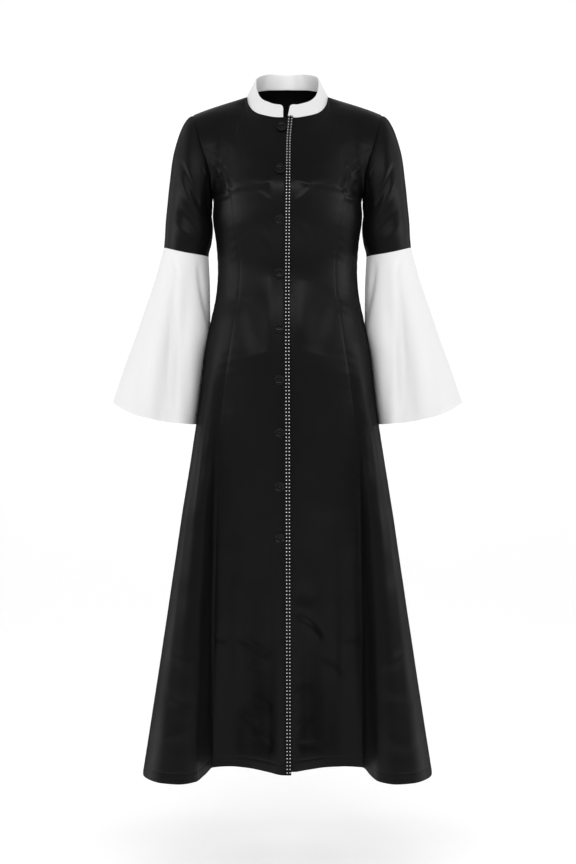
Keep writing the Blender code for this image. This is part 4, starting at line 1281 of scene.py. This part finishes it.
def collar_grid():
    """The collar's outer face, between its two rounded ends."""
    rise = np.linspace(0.0, 1.0, COLLAR_ROWS + 1)[:, None]
    left_end = math.degrees(math.asin(COLLAR_LEFT_END / NECK_SIDE)) + COLLAR_LEFT_SLANT * rise
    right_end = 360.0 + math.degrees(math.asin(COLLAR_RIGHT_END / NECK_SIDE)) - COLLAR_RIGHT_SLANT * rise
    corner = math.degrees(COLLAR_CORNER / NECK_SIDE)
    step = np.linspace(0.0, 1.0, COLLAR_COLUMNS + 1)[None, :]
    close = step - COLLAR_CROWDING * np.sin(2.0 * math.pi * step)
    angle = left_end + (right_end - left_end) * close
    inset = np.clip(np.minimum(angle - left_end, right_end - angle) / corner, 0.0, 1.0)
    rounding = COLLAR_CORNER * (1.0 - np.sqrt(1.0 - (1.0 - inset) ** 2))
    full = COLLAR.at("height", np.minimum(angle, 360.0 - angle))
    lift = COLLAR_LIFT + rise * (full - rounding)
    turn_step = math.degrees(STEP)
    round_way = collar_point(angle + turn_step, lift) - collar_point(angle - turn_step, lift)
    outer = collar_point(angle, lift)
    normals = unit(np.cross(round_way, collar_point(angle, lift + STEP) - outer))
    relief = sum(height * np.sin(np.radians(angle) * often + start) for height, often, start in COLLAR_WAVES)
    relief = relief - sum(depth * hump(angle - place, width) for place, width, depth in COLLAR_CREASES)
    return drawn_in(outer + normals * (relief * eased(rise))[..., None])


def tape_grid():
    """The outer face of the edging tape, laid on the right front and a little way over the collar."""
    ups = fine_rows(1.0)
    edge = front_edge(ups) - TRIM_INSET
    steps = np.linspace(0.0, 1.0, TRIM_COLUMNS)
    turns = np.stack([turn_at_side(edge - TRIM_WIDTH * (1.0 - step), ups) for step in steps], axis=1)
    normals = body_normals(FRONT, turns, ups[:, None])
    outer = rounded_body(FRONT, turns, ups[:, None]) + normals * (SEAM_GAP + TRIM_THICKNESS)
    rise = unit(collar_point(np.zeros(1), np.full(1, STEP)) - collar_point(np.zeros(1), np.zeros(1)))[0]
    ahead = np.array([0.0, -TRIM_ABOVE_LIFT / len(TRIM_ABOVE), 0.0])
    above = [outer[-1] + rise * lift + ahead * (number + 1) for number, lift in enumerate(TRIM_ABOVE)]
    outer = np.concatenate([outer, np.array(above)], axis=0)
    outer[0] += unit(outer[1] - outer[0]) * SEAM_GAP
    return outer


def bead_path(tape, inset):
    """The line on the tape along which a row of beads lies, inset from the front edge."""
    column = (1.0 - (inset - TRIM_INSET) / TRIM_WIDTH) * (tape.shape[1] - 1)
    first = int(column)
    return tape[:, first] + (tape[:, first + 1] - tape[:, first]) * (column - first)


def face_tree(piece):
    """A piece's faces, ready to be met by straight lines."""
    corners = [vertex.co for vertex in piece.data.vertices]
    return BVHTree.FromPolygons(corners, [face.vertices for face in piece.data.polygons])


def seat_height(carriers, middle, upright, normal):
    """How high the carriers reach along the normal under a button's back."""
    across = np.cross(upright, normal)
    heights = []
    for radius in np.linspace(0.0, BUTTON_RADIUS * SEAT_SHARE, SEAT_RINGS):
        for angle in np.linspace(0.0, 2.0 * math.pi, SEAT_SPOKES, endpoint=False):
            offset = (across * math.cos(angle) + upright * math.sin(angle)) * radius
            start = Vector(middle + offset + normal * BUTTON_RADIUS)
            for carrier in carriers:
                met = carrier.ray_cast(start, Vector(-normal), 2.0 * BUTTON_RADIUS)
                if met[0] is not None:
                    heights.append(BUTTON_RADIUS - met[3])
    return max(heights)


def button_place(number, carriers):
    """Where a button's back lies on the dressed front, as a matrix, from its solid."""
    solid = frame["nodes"][f"button_{number}"]
    corners = np.array([solid.matrix_world @ vertex.co for vertex in solid.data.vertices])
    middle = corners.mean(axis=0)
    directions = np.linalg.eigh(np.cov((corners - middle).T))[1]
    normal = directions[:, 0]
    normal = normal if normal[1] < 0 else -normal
    upright = unit(np.array([0.0, 0.0, 1.0]) - normal * normal[2])
    stand = seat_height(carriers, middle, upright, normal) + BUTTON_SEAT
    across = np.cross(upright, normal)
    place = np.column_stack([across, upright, normal, middle + normal * stand])
    return Matrix([*place.tolist(), [0.0, 0.0, 0.0, 1.0]])


def button_form():
    """A round four-hole button with a raised rim, its back at Z 0, as a mesh."""
    mesh = bmesh.new()
    profile = [mesh.verts.new((radius, 0.0, height)) for radius, height in BUTTON_PROFILE]
    edges = [mesh.edges.new(pair) for pair in zip(profile[:-1], profile[1:])]
    bmesh.ops.spin(
        mesh, geom=profile + edges, cent=(0.0, 0.0, 0.0), axis=(0.0, 0.0, 1.0),
        angle=2.0 * math.pi, steps=BUTTON_STEPS, use_merge=True,
    )
    bmesh.ops.remove_doubles(mesh, verts=mesh.verts, dist=WELD)
    bmesh.ops.recalc_face_normals(mesh, faces=mesh.faces)
    drill = bmesh.new()
    for quarter in range(4):
        angle = math.pi / 4 + quarter * math.pi / 2
        spot = Vector((math.cos(angle), math.sin(angle), 0.0)) * BUTTON_HOLE_PLACE
        bmesh.ops.create_cone(
            drill, cap_ends=True, segments=BUTTON_HOLE_SIDES, radius1=BUTTON_HOLE_RADIUS,
            radius2=BUTTON_HOLE_RADIUS, depth=DRILL_LENGTH, matrix=Matrix.Translation(spot),
        )
    blank, cutter = plain_object("button blank", mesh), plain_object("button drill", drill)
    holes = blank.modifiers.new("holes", "BOOLEAN")
    holes.operation = "DIFFERENCE"
    holes.solver = "EXACT"
    holes.object = cutter
    bpy.context.view_layer.update()
    drilled = finished_mesh(blank)
    for thing in (blank, cutter):
        bpy.data.objects.remove(thing, do_unlink=True)
    return drilled


def add_thread(mesh, place):
    """Two crossing strands of thread in a button's holes."""
    for angle in (math.pi / 4, -math.pi / 4):
        ring = bmesh.new()
        start = Matrix.Translation((BUTTON_HOLE_PLACE, 0.0, 0.0))
        made = bmesh.ops.create_circle(ring, segments=THREAD_SIDES, radius=THREAD_RADIUS, matrix=start)
        edges = list({edge for vertex in made["verts"] for edge in vertex.link_edges})
        bmesh.ops.spin(
            ring, geom=made["verts"] + edges, cent=(0.0, 0.0, 0.0), axis=(0.0, -1.0, 0.0),
            angle=math.pi, steps=THREAD_STEPS,
        )
        bmesh.ops.holes_fill(ring, edges=[edge for edge in ring.edges if edge.is_boundary], sides=0)
        bmesh.ops.recalc_face_normals(ring, faces=ring.faces)
        form = Matrix.Translation((0.0, 0.0, THREAD_HEIGHT)) @ Matrix.Rotation(angle, 4, "Z")
        form = form @ Matrix.Diagonal((1.0, 1.0, THREAD_ARCH, 1.0))
        bmesh.ops.transform(ring, matrix=place @ form, verts=ring.verts)
        strand = bpy.data.meshes.new("strand")
        ring.to_mesh(strand)
        ring.free()
        mesh.from_mesh(strand)
        bpy.data.meshes.remove(strand)


def laid_matrix(middle, along, normal, sizes):
    """A matrix that lays a small form at a place: its X along, its Z out of the cloth."""
    across = np.cross(normal, along)
    rows = np.column_stack([along * sizes[0], across * sizes[1], normal * sizes[2], middle])
    return Matrix([*rows.tolist(), [0.0, 0.0, 0.0, 1.0]])


def add_stitches(mesh, path, normals):
    """A row of stitches along a path that lies on the cloth."""
    steps = run_along(path)
    for reach in np.arange(STITCH_PITCH / 2, steps[-1], STITCH_PITCH):
        middle = read_at(reach, steps, path)
        along = unit(read_at(reach + STITCH_PITCH / 2, steps, path) - middle)
        normal = unit(read_at(reach, steps, normals))
        normal = unit(normal - along * np.dot(along, normal))
        form = laid_matrix(middle, along, normal, STITCH_SIZE)
        bmesh.ops.create_icosphere(mesh, subdivisions=1, radius=1.0, matrix=form)


# Finishes


class Finish:
    """Builds one node material step by step."""

    def __init__(self, name, roughness, specular=0.5):
        self.material = bpy.data.materials.new(name)
        self.material.use_nodes = True
        self.nodes = self.material.node_tree.nodes
        self.links = self.material.node_tree.links
        self.shader = self.nodes["Principled BSDF"]
        self.shader.inputs["Roughness"].default_value = roughness
        self.shader.inputs["Specular IOR Level"].default_value = specular

    def node(self, kind, **values):
        """A node with some of its inputs or settings given."""
        made = self.nodes.new(kind)
        for key, value in values.items():
            if key in made.inputs:
                made.inputs[key].default_value = value
            else:
                setattr(made, key, value)
        return made

    def link(self, source, target):
        """Join an output to an input."""
        self.links.new(source, target)

    def noise(self, scale, detail=2.0, roughness=0.5):
        """Soft noise on the piece's own coordinates."""
        place = self.node("ShaderNodeTexCoord")
        made = self.node("ShaderNodeTexNoise", Scale=scale, Detail=detail, Roughness=roughness)
        self.link(place.outputs["Object"], made.inputs["Vector"])
        return made.outputs["Fac"]

    def ranged(self, source, low, high, start=0.3, end=0.7):
        """A value mapped from one range to another."""
        made = self.nodes.new("ShaderNodeMapRange")
        for index, value in enumerate((start, end, low, high), start=1):
            made.inputs[index].default_value = value
        self.link(source, made.inputs[0])
        return made.outputs[0]

    def mottled(self, colour, scale, darkest, lightest, detail=2.0):
        """A colour that varies softly between a darker and a lighter share of itself."""
        made = self.node("ShaderNodeMix", data_type="RGBA")
        for index, share in ((6, darkest), (7, lightest)):
            made.inputs[index].default_value = (*(channel * share for channel in colour), 1.0)
        self.link(self.noise(scale, detail), made.inputs[0])
        self.link(made.outputs[2], self.shader.inputs["Base Color"])

    def uneven(self, source, low, high):
        """A roughness that varies with a value."""
        self.link(self.ranged(source, low, high), self.shader.inputs["Roughness"])

    def weave(self, pitch, direction):
        """Yarns that run one way across the cloth, by its own flat coordinates."""
        flat = self.node("ShaderNodeUVMap", uv_map="cloth")
        made = self.node(
            "ShaderNodeTexWave",
            wave_type="BANDS",
            bands_direction=direction,
            Scale=math.pi / (10.0 * pitch),
            Distortion=0.6,
            Detail=1.0,
        )
        made.inputs["Detail Scale"].default_value = 2.0
        self.link(flat.outputs[0], made.inputs["Vector"])
        return made.outputs["Fac"]

    def woven(self, weft, warp):
        """The relief of the yarns that run across the cloth and along it."""
        across = self.bump(self.weave(weft.pitch, "Y"), weft.relief, weft.strength)
        return self.bump(self.weave(warp.pitch, "X"), warp.relief, warp.strength, below=across)

    def bump(self, source, distance, strength=1.0, below=None):
        """Relief from a value, laid over earlier relief where that is given."""
        made = self.node("ShaderNodeBump", Strength=strength, Distance=distance)
        self.link(source, made.inputs["Height"])
        if below is not None:
            self.link(below, made.inputs["Normal"])
        self.link(made.outputs["Normal"], self.shader.inputs["Normal"])
        return made.outputs["Normal"]


def satin_finish():
    """Black satin: fine floats, a soft sheen and slight unevenness."""
    cloth = bpy.context.scene.robe_cloth
    even = cloth.satin_roughness
    finish = Finish("black satin", roughness=even, specular=cloth.satin_gloss)
    finish.mottled(cloth.satin_colour, scale=5.0, darkest=0.85, lightest=1.2, detail=3.0)
    roughness = finish.ranged(finish.noise(scale=9.0), low=even - 0.04, high=even + 0.05)
    facing = finish.node("ShaderNodeLayerWeight", Blend=0.5).outputs["Facing"]
    rougher = finish.ranged(facing, low=0.0, high=SATIN_EDGE_ROUGHNESS, start=0.55, end=0.95)
    total = finish.node("ShaderNodeMath", operation="ADD")
    finish.link(roughness, total.inputs[0])
    finish.link(rougher, total.inputs[1])
    finish.link(total.outputs[0], finish.shader.inputs["Roughness"])
    finish.shader.inputs["IOR"].default_value = SATIN_IOR
    finish.shader.inputs["Anisotropic"].default_value = SATIN_STRETCH
    across = finish.node("ShaderNodeTangent", direction_type="UV_MAP", uv_map="cloth")
    finish.link(across.outputs[0], finish.shader.inputs["Tangent"])
    yarns = finish.woven(SATIN_WEFT, SATIN_WARP)
    finish.bump(finish.noise(scale=160.0), distance=0.00012, strength=0.35, below=yarns)
    return finish.material


def crepe_finish():
    """White crepe satin: mostly matt, with a fine pebbled grain."""
    finish = Finish("white crepe", roughness=0.62, specular=0.35)
    finish.mottled(bpy.context.scene.robe_cloth.crepe_colour, scale=6.0, darkest=0.985, lightest=1.015)
    finish.uneven(finish.noise(scale=24.0), low=0.57, high=0.68)
    finish.shader.inputs["Sheen Weight"].default_value = 0.08
    finish.shader.inputs["Sheen Roughness"].default_value = 0.5
    yarns = finish.woven(CREPE_WEFT, CREPE_WARP)
    pebbles = finish.noise(scale=1400.0, roughness=0.7)
    finish.bump(pebbles, distance=0.00010, strength=0.4, below=yarns)
    return finish.material


def tape_finish():
    """Black edging tape: a ribbed, duller weave."""
    finish = Finish("black edging tape", roughness=0.60, specular=0.08)
    finish.mottled(bpy.context.scene.robe_trim.tape_colour, scale=60.0, darkest=0.8, lightest=1.25)
    finish.woven(TAPE_RIBS, TAPE_WARP)
    return finish.material


def bead_finish():
    """Small white glass beads."""
    finish = Finish("white beads", roughness=0.22)
    finish.mottled(bpy.context.scene.robe_trim.bead_colour, scale=90.0, darkest=0.85, lightest=1.1)
    finish.shader.inputs["Coat Weight"].default_value = 0.4
    finish.shader.inputs["Coat Roughness"].default_value = 0.15
    finish.bump(finish.noise(scale=900.0), distance=0.00005, strength=0.3)
    return finish.material


def button_finish():
    """Glossy black plastic, barely uneven."""
    finish = Finish("glossy black button", roughness=0.10, specular=0.12)
    finish.mottled(bpy.context.scene.robe_trim.button_colour, scale=70.0, darkest=0.8, lightest=1.3)
    finish.uneven(finish.noise(scale=220.0, detail=3.0), low=0.08, high=0.13)
    finish.bump(finish.noise(scale=400.0), distance=0.00003, strength=0.3)
    return finish.material


def thread_finish(name, colour):
    """Twisted sewing thread."""
    finish = Finish(name, roughness=0.6, specular=0.3)
    finish.mottled(colour, scale=300.0, darkest=0.8, lightest=1.2)
    finish.bump(finish.noise(scale=2600.0, detail=1.0), distance=0.00010, strength=0.5)
    return finish.material


def studio_finish():
    """The pale floor and backdrop, with the faintest mottling."""
    stage = bpy.context.scene.robe_stage
    finish = Finish("pale studio paper", roughness=0.9, specular=0.1)
    finish.mottled(stage.floor_colour, scale=0.8, darkest=0.995, lightest=1.0)
    finish.shader.inputs["Emission Color"].default_value = (1.0, 1.0, 1.0, 1.0)
    finish.shader.inputs["Emission Strength"].default_value = stage.floor_glow
    finish.bump(finish.noise(scale=120.0), distance=0.0002, strength=0.1)
    return finish.material


# Settings


class RobeClothSettings(bpy.types.PropertyGroup):
    """The satin and the crepe."""

    satin_thickness: FloatProperty(
        name="Satin thickness", description="Thickness of the black cloth", default=0.0012, unit="LENGTH"
    )
    crepe_thickness: FloatProperty(
        name="Crepe thickness", description="Thickness of the white cuffs", default=0.0012, unit="LENGTH"
    )
    collar_thickness: FloatProperty(
        name="Collar thickness", description="Thickness of the lined collar", default=0.0020, unit="LENGTH"
    )
    crease_depth: FloatProperty(
        name="Crease depth", description="How strongly the satin's creases show", default=1.7,
        subtype="FACTOR",
    )
    cuff_depth: FloatProperty(
        name="Cuff depth", description="How strongly the folds of the cuffs show", default=1.5,
        subtype="FACTOR",
    )
    wave_depth: FloatProperty(
        name="Wave depth", description="Height of the satin's soft waves", default=0.0009, unit="LENGTH"
    )
    satin_colour: FloatVectorProperty(
        name="Satin colour", description="Colour of the robe", default=(0.0036, 0.0036, 0.0037),
        subtype="COLOR",
    )
    satin_roughness: FloatProperty(
        name="Satin roughness", description="How far the satin spreads light", default=0.33, subtype="FACTOR"
    )
    satin_gloss: FloatProperty(
        name="Satin gloss", description="How strongly the satin reflects", default=0.5, subtype="FACTOR"
    )
    crepe_colour: FloatVectorProperty(
        name="Crepe colour", description="Colour of the cuffs and collar", default=(0.80, 0.80, 0.80),
        subtype="COLOR",
    )


class RobeTrimSettings(bpy.types.PropertyGroup):
    """The beads, the tape, the buttons and the threads."""

    bead_width: FloatProperty(
        name="Bead width", description="Width of a bead", default=0.0024, unit="LENGTH"
    )
    bead_length: FloatProperty(
        name="Bead length", description="Length of a bead along the edge", default=0.0021, unit="LENGTH"
    )
    bead_pitch: FloatProperty(
        name="Bead pitch", description="Spacing of the beads below the waist", default=0.0069, unit="LENGTH"
    )
    bead_colour: FloatVectorProperty(
        name="Bead colour", description="Colour of the beads", default=(0.90, 0.90, 0.90), subtype="COLOR"
    )
    tape_colour: FloatVectorProperty(
        name="Tape colour", description="Colour of the edging tape", default=(0.004, 0.004, 0.0045),
        subtype="COLOR",
    )
    button_colour: FloatVectorProperty(
        name="Button colour", description="Colour of the buttons", default=(0.004, 0.004, 0.0045),
        subtype="COLOR",
    )
    black_thread: FloatVectorProperty(
        name="Black thread", description="Thread of the satin", default=(0.012, 0.012, 0.013), subtype="COLOR"
    )
    white_thread: FloatVectorProperty(
        name="White thread", description="Thread of the crepe", default=(0.78, 0.78, 0.78), subtype="COLOR"
    )


class RobeStageSettings(bpy.types.PropertyGroup):
    """The studio."""

    floor_colour: FloatVectorProperty(
        name="Floor colour", description="Colour of floor and backdrop", default=(0.92, 0.92, 0.92),
        subtype="COLOR",
    )
    floor_glow: FloatProperty(
        name="Floor glow", description="Light given off by floor and backdrop", default=0.27, subtype="FACTOR"
    )
    floor_height: FloatProperty(
        name="Floor height", description="Height of the floor", default=-1.52, unit="LENGTH"
    )
    front_light: FloatProperty(
        name="Front light", description="Power of the wide softbox above the camera", default=32.0,
        unit="POWER",
    )
    side_light: FloatProperty(
        name="Side lights", description="Power of each of the two side softboxes", default=17.6, unit="POWER"
    )
    high_light: FloatProperty(
        name="High lights", description="Power of each of the two high side softboxes", default=4.8,
        unit="POWER",
    )
    neck_light: FloatProperty(
        name="Neck light", description="Power of the narrow lamp that lights the inside of the neck",
        default=190.0, unit="POWER",
    )
    neck_light_spread: FloatProperty(
        name="Neck light spread", description="Angle of the narrow lamp", default=math.radians(4.4),
        unit="ROTATION",
    )
    room_light: FloatProperty(
        name="Room light", description="Strength of the even light of the room", default=0.56,
        subtype="FACTOR",
    )
    lens: FloatProperty(
        name="Lens", description="Focal length of the camera", default=62.5, unit="CAMERA"
    )


# Operators


class ROBE_OT_body_panels(bpy.types.Operator):
    """Sew the seven satin panels of the body"""

    bl_idname = "robe.body_panels"
    bl_label = "Body panels"

    def execute(self, context):
        satin_finish()
        for side, word in SIDES:
            node = f"{word}_front"
            own(centre_front(side, f"satin_{node}"), node, CUTS[node])
            for face, panel in ((FRONT, "side_front"), (BACK, "side_back")):
                node = f"{word}_{panel}"
                own(side_panel(side, face, f"satin_{node}"), node, CUTS[panel])
        own(centre_back_panel("satin_centre_back"), "centre_back", CUTS["centre_back"])
        return {"FINISHED"}


class ROBE_OT_upper_sleeves(bpy.types.Operator):
    """Sew the two black upper sleeves"""

    bl_idname = "robe.upper_sleeves"
    bl_label = "Upper sleeves"

    def execute(self, context):
        satin = bpy.data.materials["black satin"]
        thickness = context.scene.robe_cloth.satin_thickness
        for side, word in SIDES:
            node = f"{word}_upper_sleeve"
            piece = tube_piece(
                f"satin_{node}", side, left_sleeve, (SLEEVE_COLUMNS, SLEEVE_ROWS), sleeve_relief(side),
                thickness, satin, tuck=SLEEVE_TUCK,
            )
            own(piece, node, CUTS["upper_sleeve"])
        return {"FINISHED"}


class ROBE_OT_cuffs(bpy.types.Operator):
    """Sew the two white bell cuffs"""

    bl_idname = "robe.cuffs"
    bl_label = "Cuffs"

    def execute(self, context):
        crepe = crepe_finish()
        thickness = context.scene.robe_cloth.crepe_thickness
        for side, word in SIDES:
            node = f"{word}_cuff"
            piece = tube_piece(
                f"crepe_{node}", side, left_cuff, (CUFF_COLUMNS, CUFF_ROWS), cuff_relief(side),
                thickness, crepe, soft_edge=CUFF_SOFT_EDGE,
            )
            own(piece, node, CUTS["cuff"])
        return {"FINISHED"}


class ROBE_OT_collar(bpy.types.Operator):
    """Sew the white stand collar"""

    bl_idname = "robe.collar"
    bl_label = "Collar"

    def execute(self, context):
        crepe = bpy.data.materials["white crepe"]
        thickness = context.scene.robe_cloth.collar_thickness
        piece = cloth_piece("crepe_collar", collar_grid(), thickness, crepe, soft_edge=COLLAR_SOFT_EDGE)
        own(piece, "collar", CUTS["collar"])
        return {"FINISHED"}


class ROBE_OT_edge_tape(bpy.types.Operator):
    """Lay the edging tape along the overlapping front edge"""

    bl_idname = "robe.edge_tape"
    bl_label = "Edging tape"

    def execute(self, context):
        piece = cloth_piece("edging_tape", tape_grid(), TRIM_THICKNESS, tape_finish())
        own(piece, "front_edge_trim", CUTS["front_edge_trim"])
        return {"FINISHED"}


class ROBE_OT_beads(bpy.types.Operator):
    """Sew two rows of small white beads on the tape"""

    bl_idname = "robe.beads"
    bl_label = "Beads"

    def execute(self, context):
        trim = context.scene.robe_trim
        tape = tape_grid()
        sizes = (trim.bead_length / 2, trim.bead_width / 2, trim.bead_width / 3)
        buttons = [np.array(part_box(f"button_{number}")).mean(axis=0) for number in BUTTONS]
        mesh = bmesh.new()
        hem = tape[0, 0, 2] + trim.bead_length
        for inset in BEAD_INSETS:
            path = bead_path(tape, inset)
            height = BEAD_TOP
            while height > hem:
                middle = read_at(height, path[:, 2], path)
                along = unit(read_at(height + STEP, path[:, 2], path) - middle)
                normal = unit(np.cross(np.array([1.0, 0.0, 0.0]), along))
                clear = min(np.hypot(*(middle - button)[[0, 2]]) for button in buttons)
                if clear > BUTTON_RADIUS + trim.bead_width * BEAD_CLEAR:
                    form = laid_matrix(middle + normal * BEAD_LIFT, along, normal, sizes)
                    bmesh.ops.create_uvsphere(
                        mesh, u_segments=BEAD_SEGMENTS, v_segments=BEAD_RINGS, radius=1.0, matrix=form
                    )
                opened = eased((BEAD_CLOSE_TO - height) / (BEAD_CLOSE_TO - BEAD_OPEN_FROM))
                height -= BEAD_CLOSE_PITCH + (trim.bead_pitch - BEAD_CLOSE_PITCH) * opened
        own(settle("edge_beads", mesh, bead_finish()), None)
        return {"FINISHED"}


class ROBE_OT_buttons(bpy.types.Operator):
    """Sew on the nine glossy four-hole buttons"""

    bl_idname = "robe.buttons"
    bl_label = "Buttons"

    def execute(self, context):
        form = button_form()
        gloss = button_finish()
        carriers = [face_tree(bpy.data.objects[name]) for name in ("satin_right_front", "edging_tape")]
        threads = bmesh.new()
        for number in BUTTONS:
            place = button_place(number, carriers)
            mesh = bmesh.new()
            mesh.from_mesh(form)
            bmesh.ops.transform(mesh, matrix=place, verts=mesh.verts)
            piece = settle(f"gloss_button_{number}", mesh, gloss, angle=BUTTON_SHARP_ANGLE)
            own(piece, f"button_{number}")
            add_thread(threads, place)
        colour = context.scene.robe_trim.black_thread
        own(settle("button_thread", threads, thread_finish("black thread", colour)), None)
        bpy.data.meshes.remove(form)
        return {"FINISHED"}


class ROBE_OT_stitching(bpy.types.Operator):
    """Stitch the hems of the body and of the cuffs"""

    bl_idname = "robe.stitching"
    bl_label = "Hem stitches"

    def execute(self, context):
        trim = context.scene.robe_trim
        black = bmesh.new()
        for side in (RIGHT, LEFT):
            for face, first, last in BODY_HEM_RUNS:
                turn = side * np.linspace(first, last, HEM_POINTS)
                hem = body(face, turn, np.full_like(turn, -1.0))
                near = body(face, turn, np.full_like(turn, -1.0 + HEM_BAND))
                up = -1.0 + HEM_BAND * BODY_HEM / lengths(near - hem)[:, 0]
                path, normals = outer_body(face, turn, up)
                add_stitches(black, path - normals * HEM_GROOVE * STITCH_DEPTH, normals)
        thread = bpy.data.materials["black thread"]
        own(settle("satin_hem_stitches", black, thread), None)
        white = bmesh.new()
        turn = np.linspace(0.0, 1.0, HEM_POINTS)
        share = np.full_like(turn, 1.0 - CUFF_HEM / CUFF_LENGTH)
        for side in (RIGHT, LEFT):
            path = left_cuff(turn, share)
            normals = tube_normals(left_cuff, turn, share)
            path = path + normals * cuff_relief(side)(turn, share, path)[:, None]
            mirror = np.array([side, 1.0, 1.0])
            add_stitches(white, path * mirror, normals * mirror)
        thread = thread_finish("white thread", trim.white_thread)
        own(settle("crepe_hem_stitches", white, thread), None)
        return {"FINISHED"}


class ROBE_OT_stage(bpy.types.Operator):
    """Set up the floor, the backdrop, the lights and the camera"""

    bl_idname = "robe.stage"
    bl_label = "Studio"

    def execute(self, context):
        stage = context.scene.robe_stage
        self.lay_floor(stage)
        self.softbox("softbox_front", FRONT_SOFTBOX, stage.front_light)
        for side, word in SIDES:
            self.softbox(f"softbox_{word}", SIDE_SOFTBOX, stage.side_light, side)
            self.softbox(f"softbox_{word}_high", HIGH_SOFTBOX, stage.high_light, side)
        self.neck_lamp(stage)
        self.light_room(context.scene, stage)
        self.set_camera(context.scene, stage)
        return {"FINISHED"}

    def lay_floor(self, stage):
        """The floor, which rises behind the robe in a rounded corner to the backdrop."""
        floor = bmesh.new()
        bmesh.ops.create_grid(floor, x_segments=1, y_segments=1, size=1.0)
        bmesh.ops.scale(floor, vec=FLOOR_SCALE, verts=floor.verts)
        bmesh.ops.translate(floor, vec=(0.0, FLOOR_MIDDLE, stage.floor_height), verts=floor.verts)
        back = [edge for edge in floor.edges if all(vertex.co.y > 0 for vertex in edge.verts)]
        corner = [vertex for edge in back for vertex in edge.verts]
        centre = (0.0, WALL_START, stage.floor_height + CORNER_RADIUS)
        bend = bmesh.ops.spin(
            floor, geom=back + corner, cent=centre, axis=(1.0, 0.0, 0.0), angle=math.pi / 2,
            steps=CORNER_STEPS,
        )
        last = [item for item in bend["geom_last"] if isinstance(item, bmesh.types.BMEdge)]
        wall = bmesh.ops.extrude_edge_only(floor, edges=last)
        raised = [item for item in wall["geom"] if isinstance(item, bmesh.types.BMVert)]
        bmesh.ops.translate(floor, vec=(0.0, 0.0, WALL_HEIGHT), verts=raised)
        settle("studio_paper", floor, studio_finish())

    def light_room(self, scene, stage):
        """The even light of the room."""
        world = bpy.data.worlds.new("studio room")
        world.use_nodes = True
        room = world.node_tree.nodes["Background"]
        room.inputs["Color"].default_value = (1.0, 1.0, 1.0, 1.0)
        room.inputs["Strength"].default_value = stage.room_light
        scene.world = world
        scene.view_settings.view_transform = "Standard"

    def set_camera(self, scene, stage):
        """The camera, level and straight ahead of the robe."""
        camera = bpy.data.objects.new("camera", bpy.data.cameras.new("camera"))
        camera.data.lens = stage.lens
        camera.location = CAMERA_PLACE
        camera.rotation_euler = (math.pi / 2, 0.0, 0.0)
        scene.collection.objects.link(camera)
        scene.camera = camera

    def softbox(self, name, box, power, side=LEFT):
        """A soft rectangular light turned towards the robe."""
        light = bpy.data.lights.new(name, "AREA")
        light.shape = "RECTANGLE"
        light.size, light.size_y = box.size
        light.energy = power
        self.hang(name, light, (side * box.place[0], *box.place[1:]), LIGHT_AIM)

    def neck_lamp(self, stage):
        """A narrow lamp that shines down into the neck."""
        light = bpy.data.lights.new("neck_lamp", "SPOT")
        light.energy = stage.neck_light
        light.spot_size = stage.neck_light_spread
        light.spot_blend = 1.0
        light.shadow_soft_size = NECK_LAMP_RADIUS
        self.hang("neck_lamp", light, NECK_LAMP_PLACE, NECK_LAMP_AIM)

    def hang(self, name, light, place, aim):
        """Hang a light at a place, turned towards its aim."""
        lamp = bpy.data.objects.new(name, light)
        lamp.location = place
        lamp.rotation_euler = (Vector(aim) - Vector(place)).to_track_quat("-Z", "Y").to_euler()
        bpy.context.scene.collection.objects.link(lamp)


STEPS = (
    ROBE_OT_body_panels,
    ROBE_OT_upper_sleeves,
    ROBE_OT_cuffs,
    ROBE_OT_collar,
    ROBE_OT_edge_tape,
    ROBE_OT_beads,
    ROBE_OT_buttons,
    ROBE_OT_stitching,
    ROBE_OT_stage,
)


class ROBE_PT_panel(bpy.types.Panel):
    """The robe's settings and steps"""

    bl_label = "Pulpit robe"
    bl_space_type = "VIEW_3D"
    bl_region_type = "UI"
    bl_category = "Robe"

    def draw(self, context):
        layout = self.layout
        scene = context.scene
        for group in (scene.robe_cloth, scene.robe_trim, scene.robe_stage):
            box = layout.box()
            for name in group.__annotations__:
                box.prop(group, name)
        for step in STEPS:
            layout.operator(step.bl_idname)


SETTINGS = (
    ("robe_cloth", RobeClothSettings),
    ("robe_trim", RobeTrimSettings),
    ("robe_stage", RobeStageSettings),
)


def register():
    """Register the settings, the operators and the panel."""
    for name, group in SETTINGS:
        bpy.utils.register_class(group)
        setattr(bpy.types.Scene, name, PointerProperty(type=group))
    for step in STEPS:
        bpy.utils.register_class(step)
    bpy.utils.register_class(ROBE_PT_panel)


def unregister():
    """Take the panel, the operators and the settings out again."""
    bpy.utils.unregister_class(ROBE_PT_panel)
    for step in reversed(STEPS):
        bpy.utils.unregister_class(step)
    for name, group in reversed(SETTINGS):
        delattr(bpy.types.Scene, name)
        bpy.utils.unregister_class(group)


def main():
    """Dress the robe's solids."""
    register()
    bpy.ops.robe.body_panels()
    bpy.ops.robe.upper_sleeves()
    bpy.ops.robe.cuffs()
    bpy.ops.robe.collar()
    bpy.ops.robe.edge_tape()
    bpy.ops.robe.beads()
    bpy.ops.robe.buttons()
    bpy.ops.robe.stitching()
    bpy.ops.robe.stage()


if __name__ == "__main__":
    main()
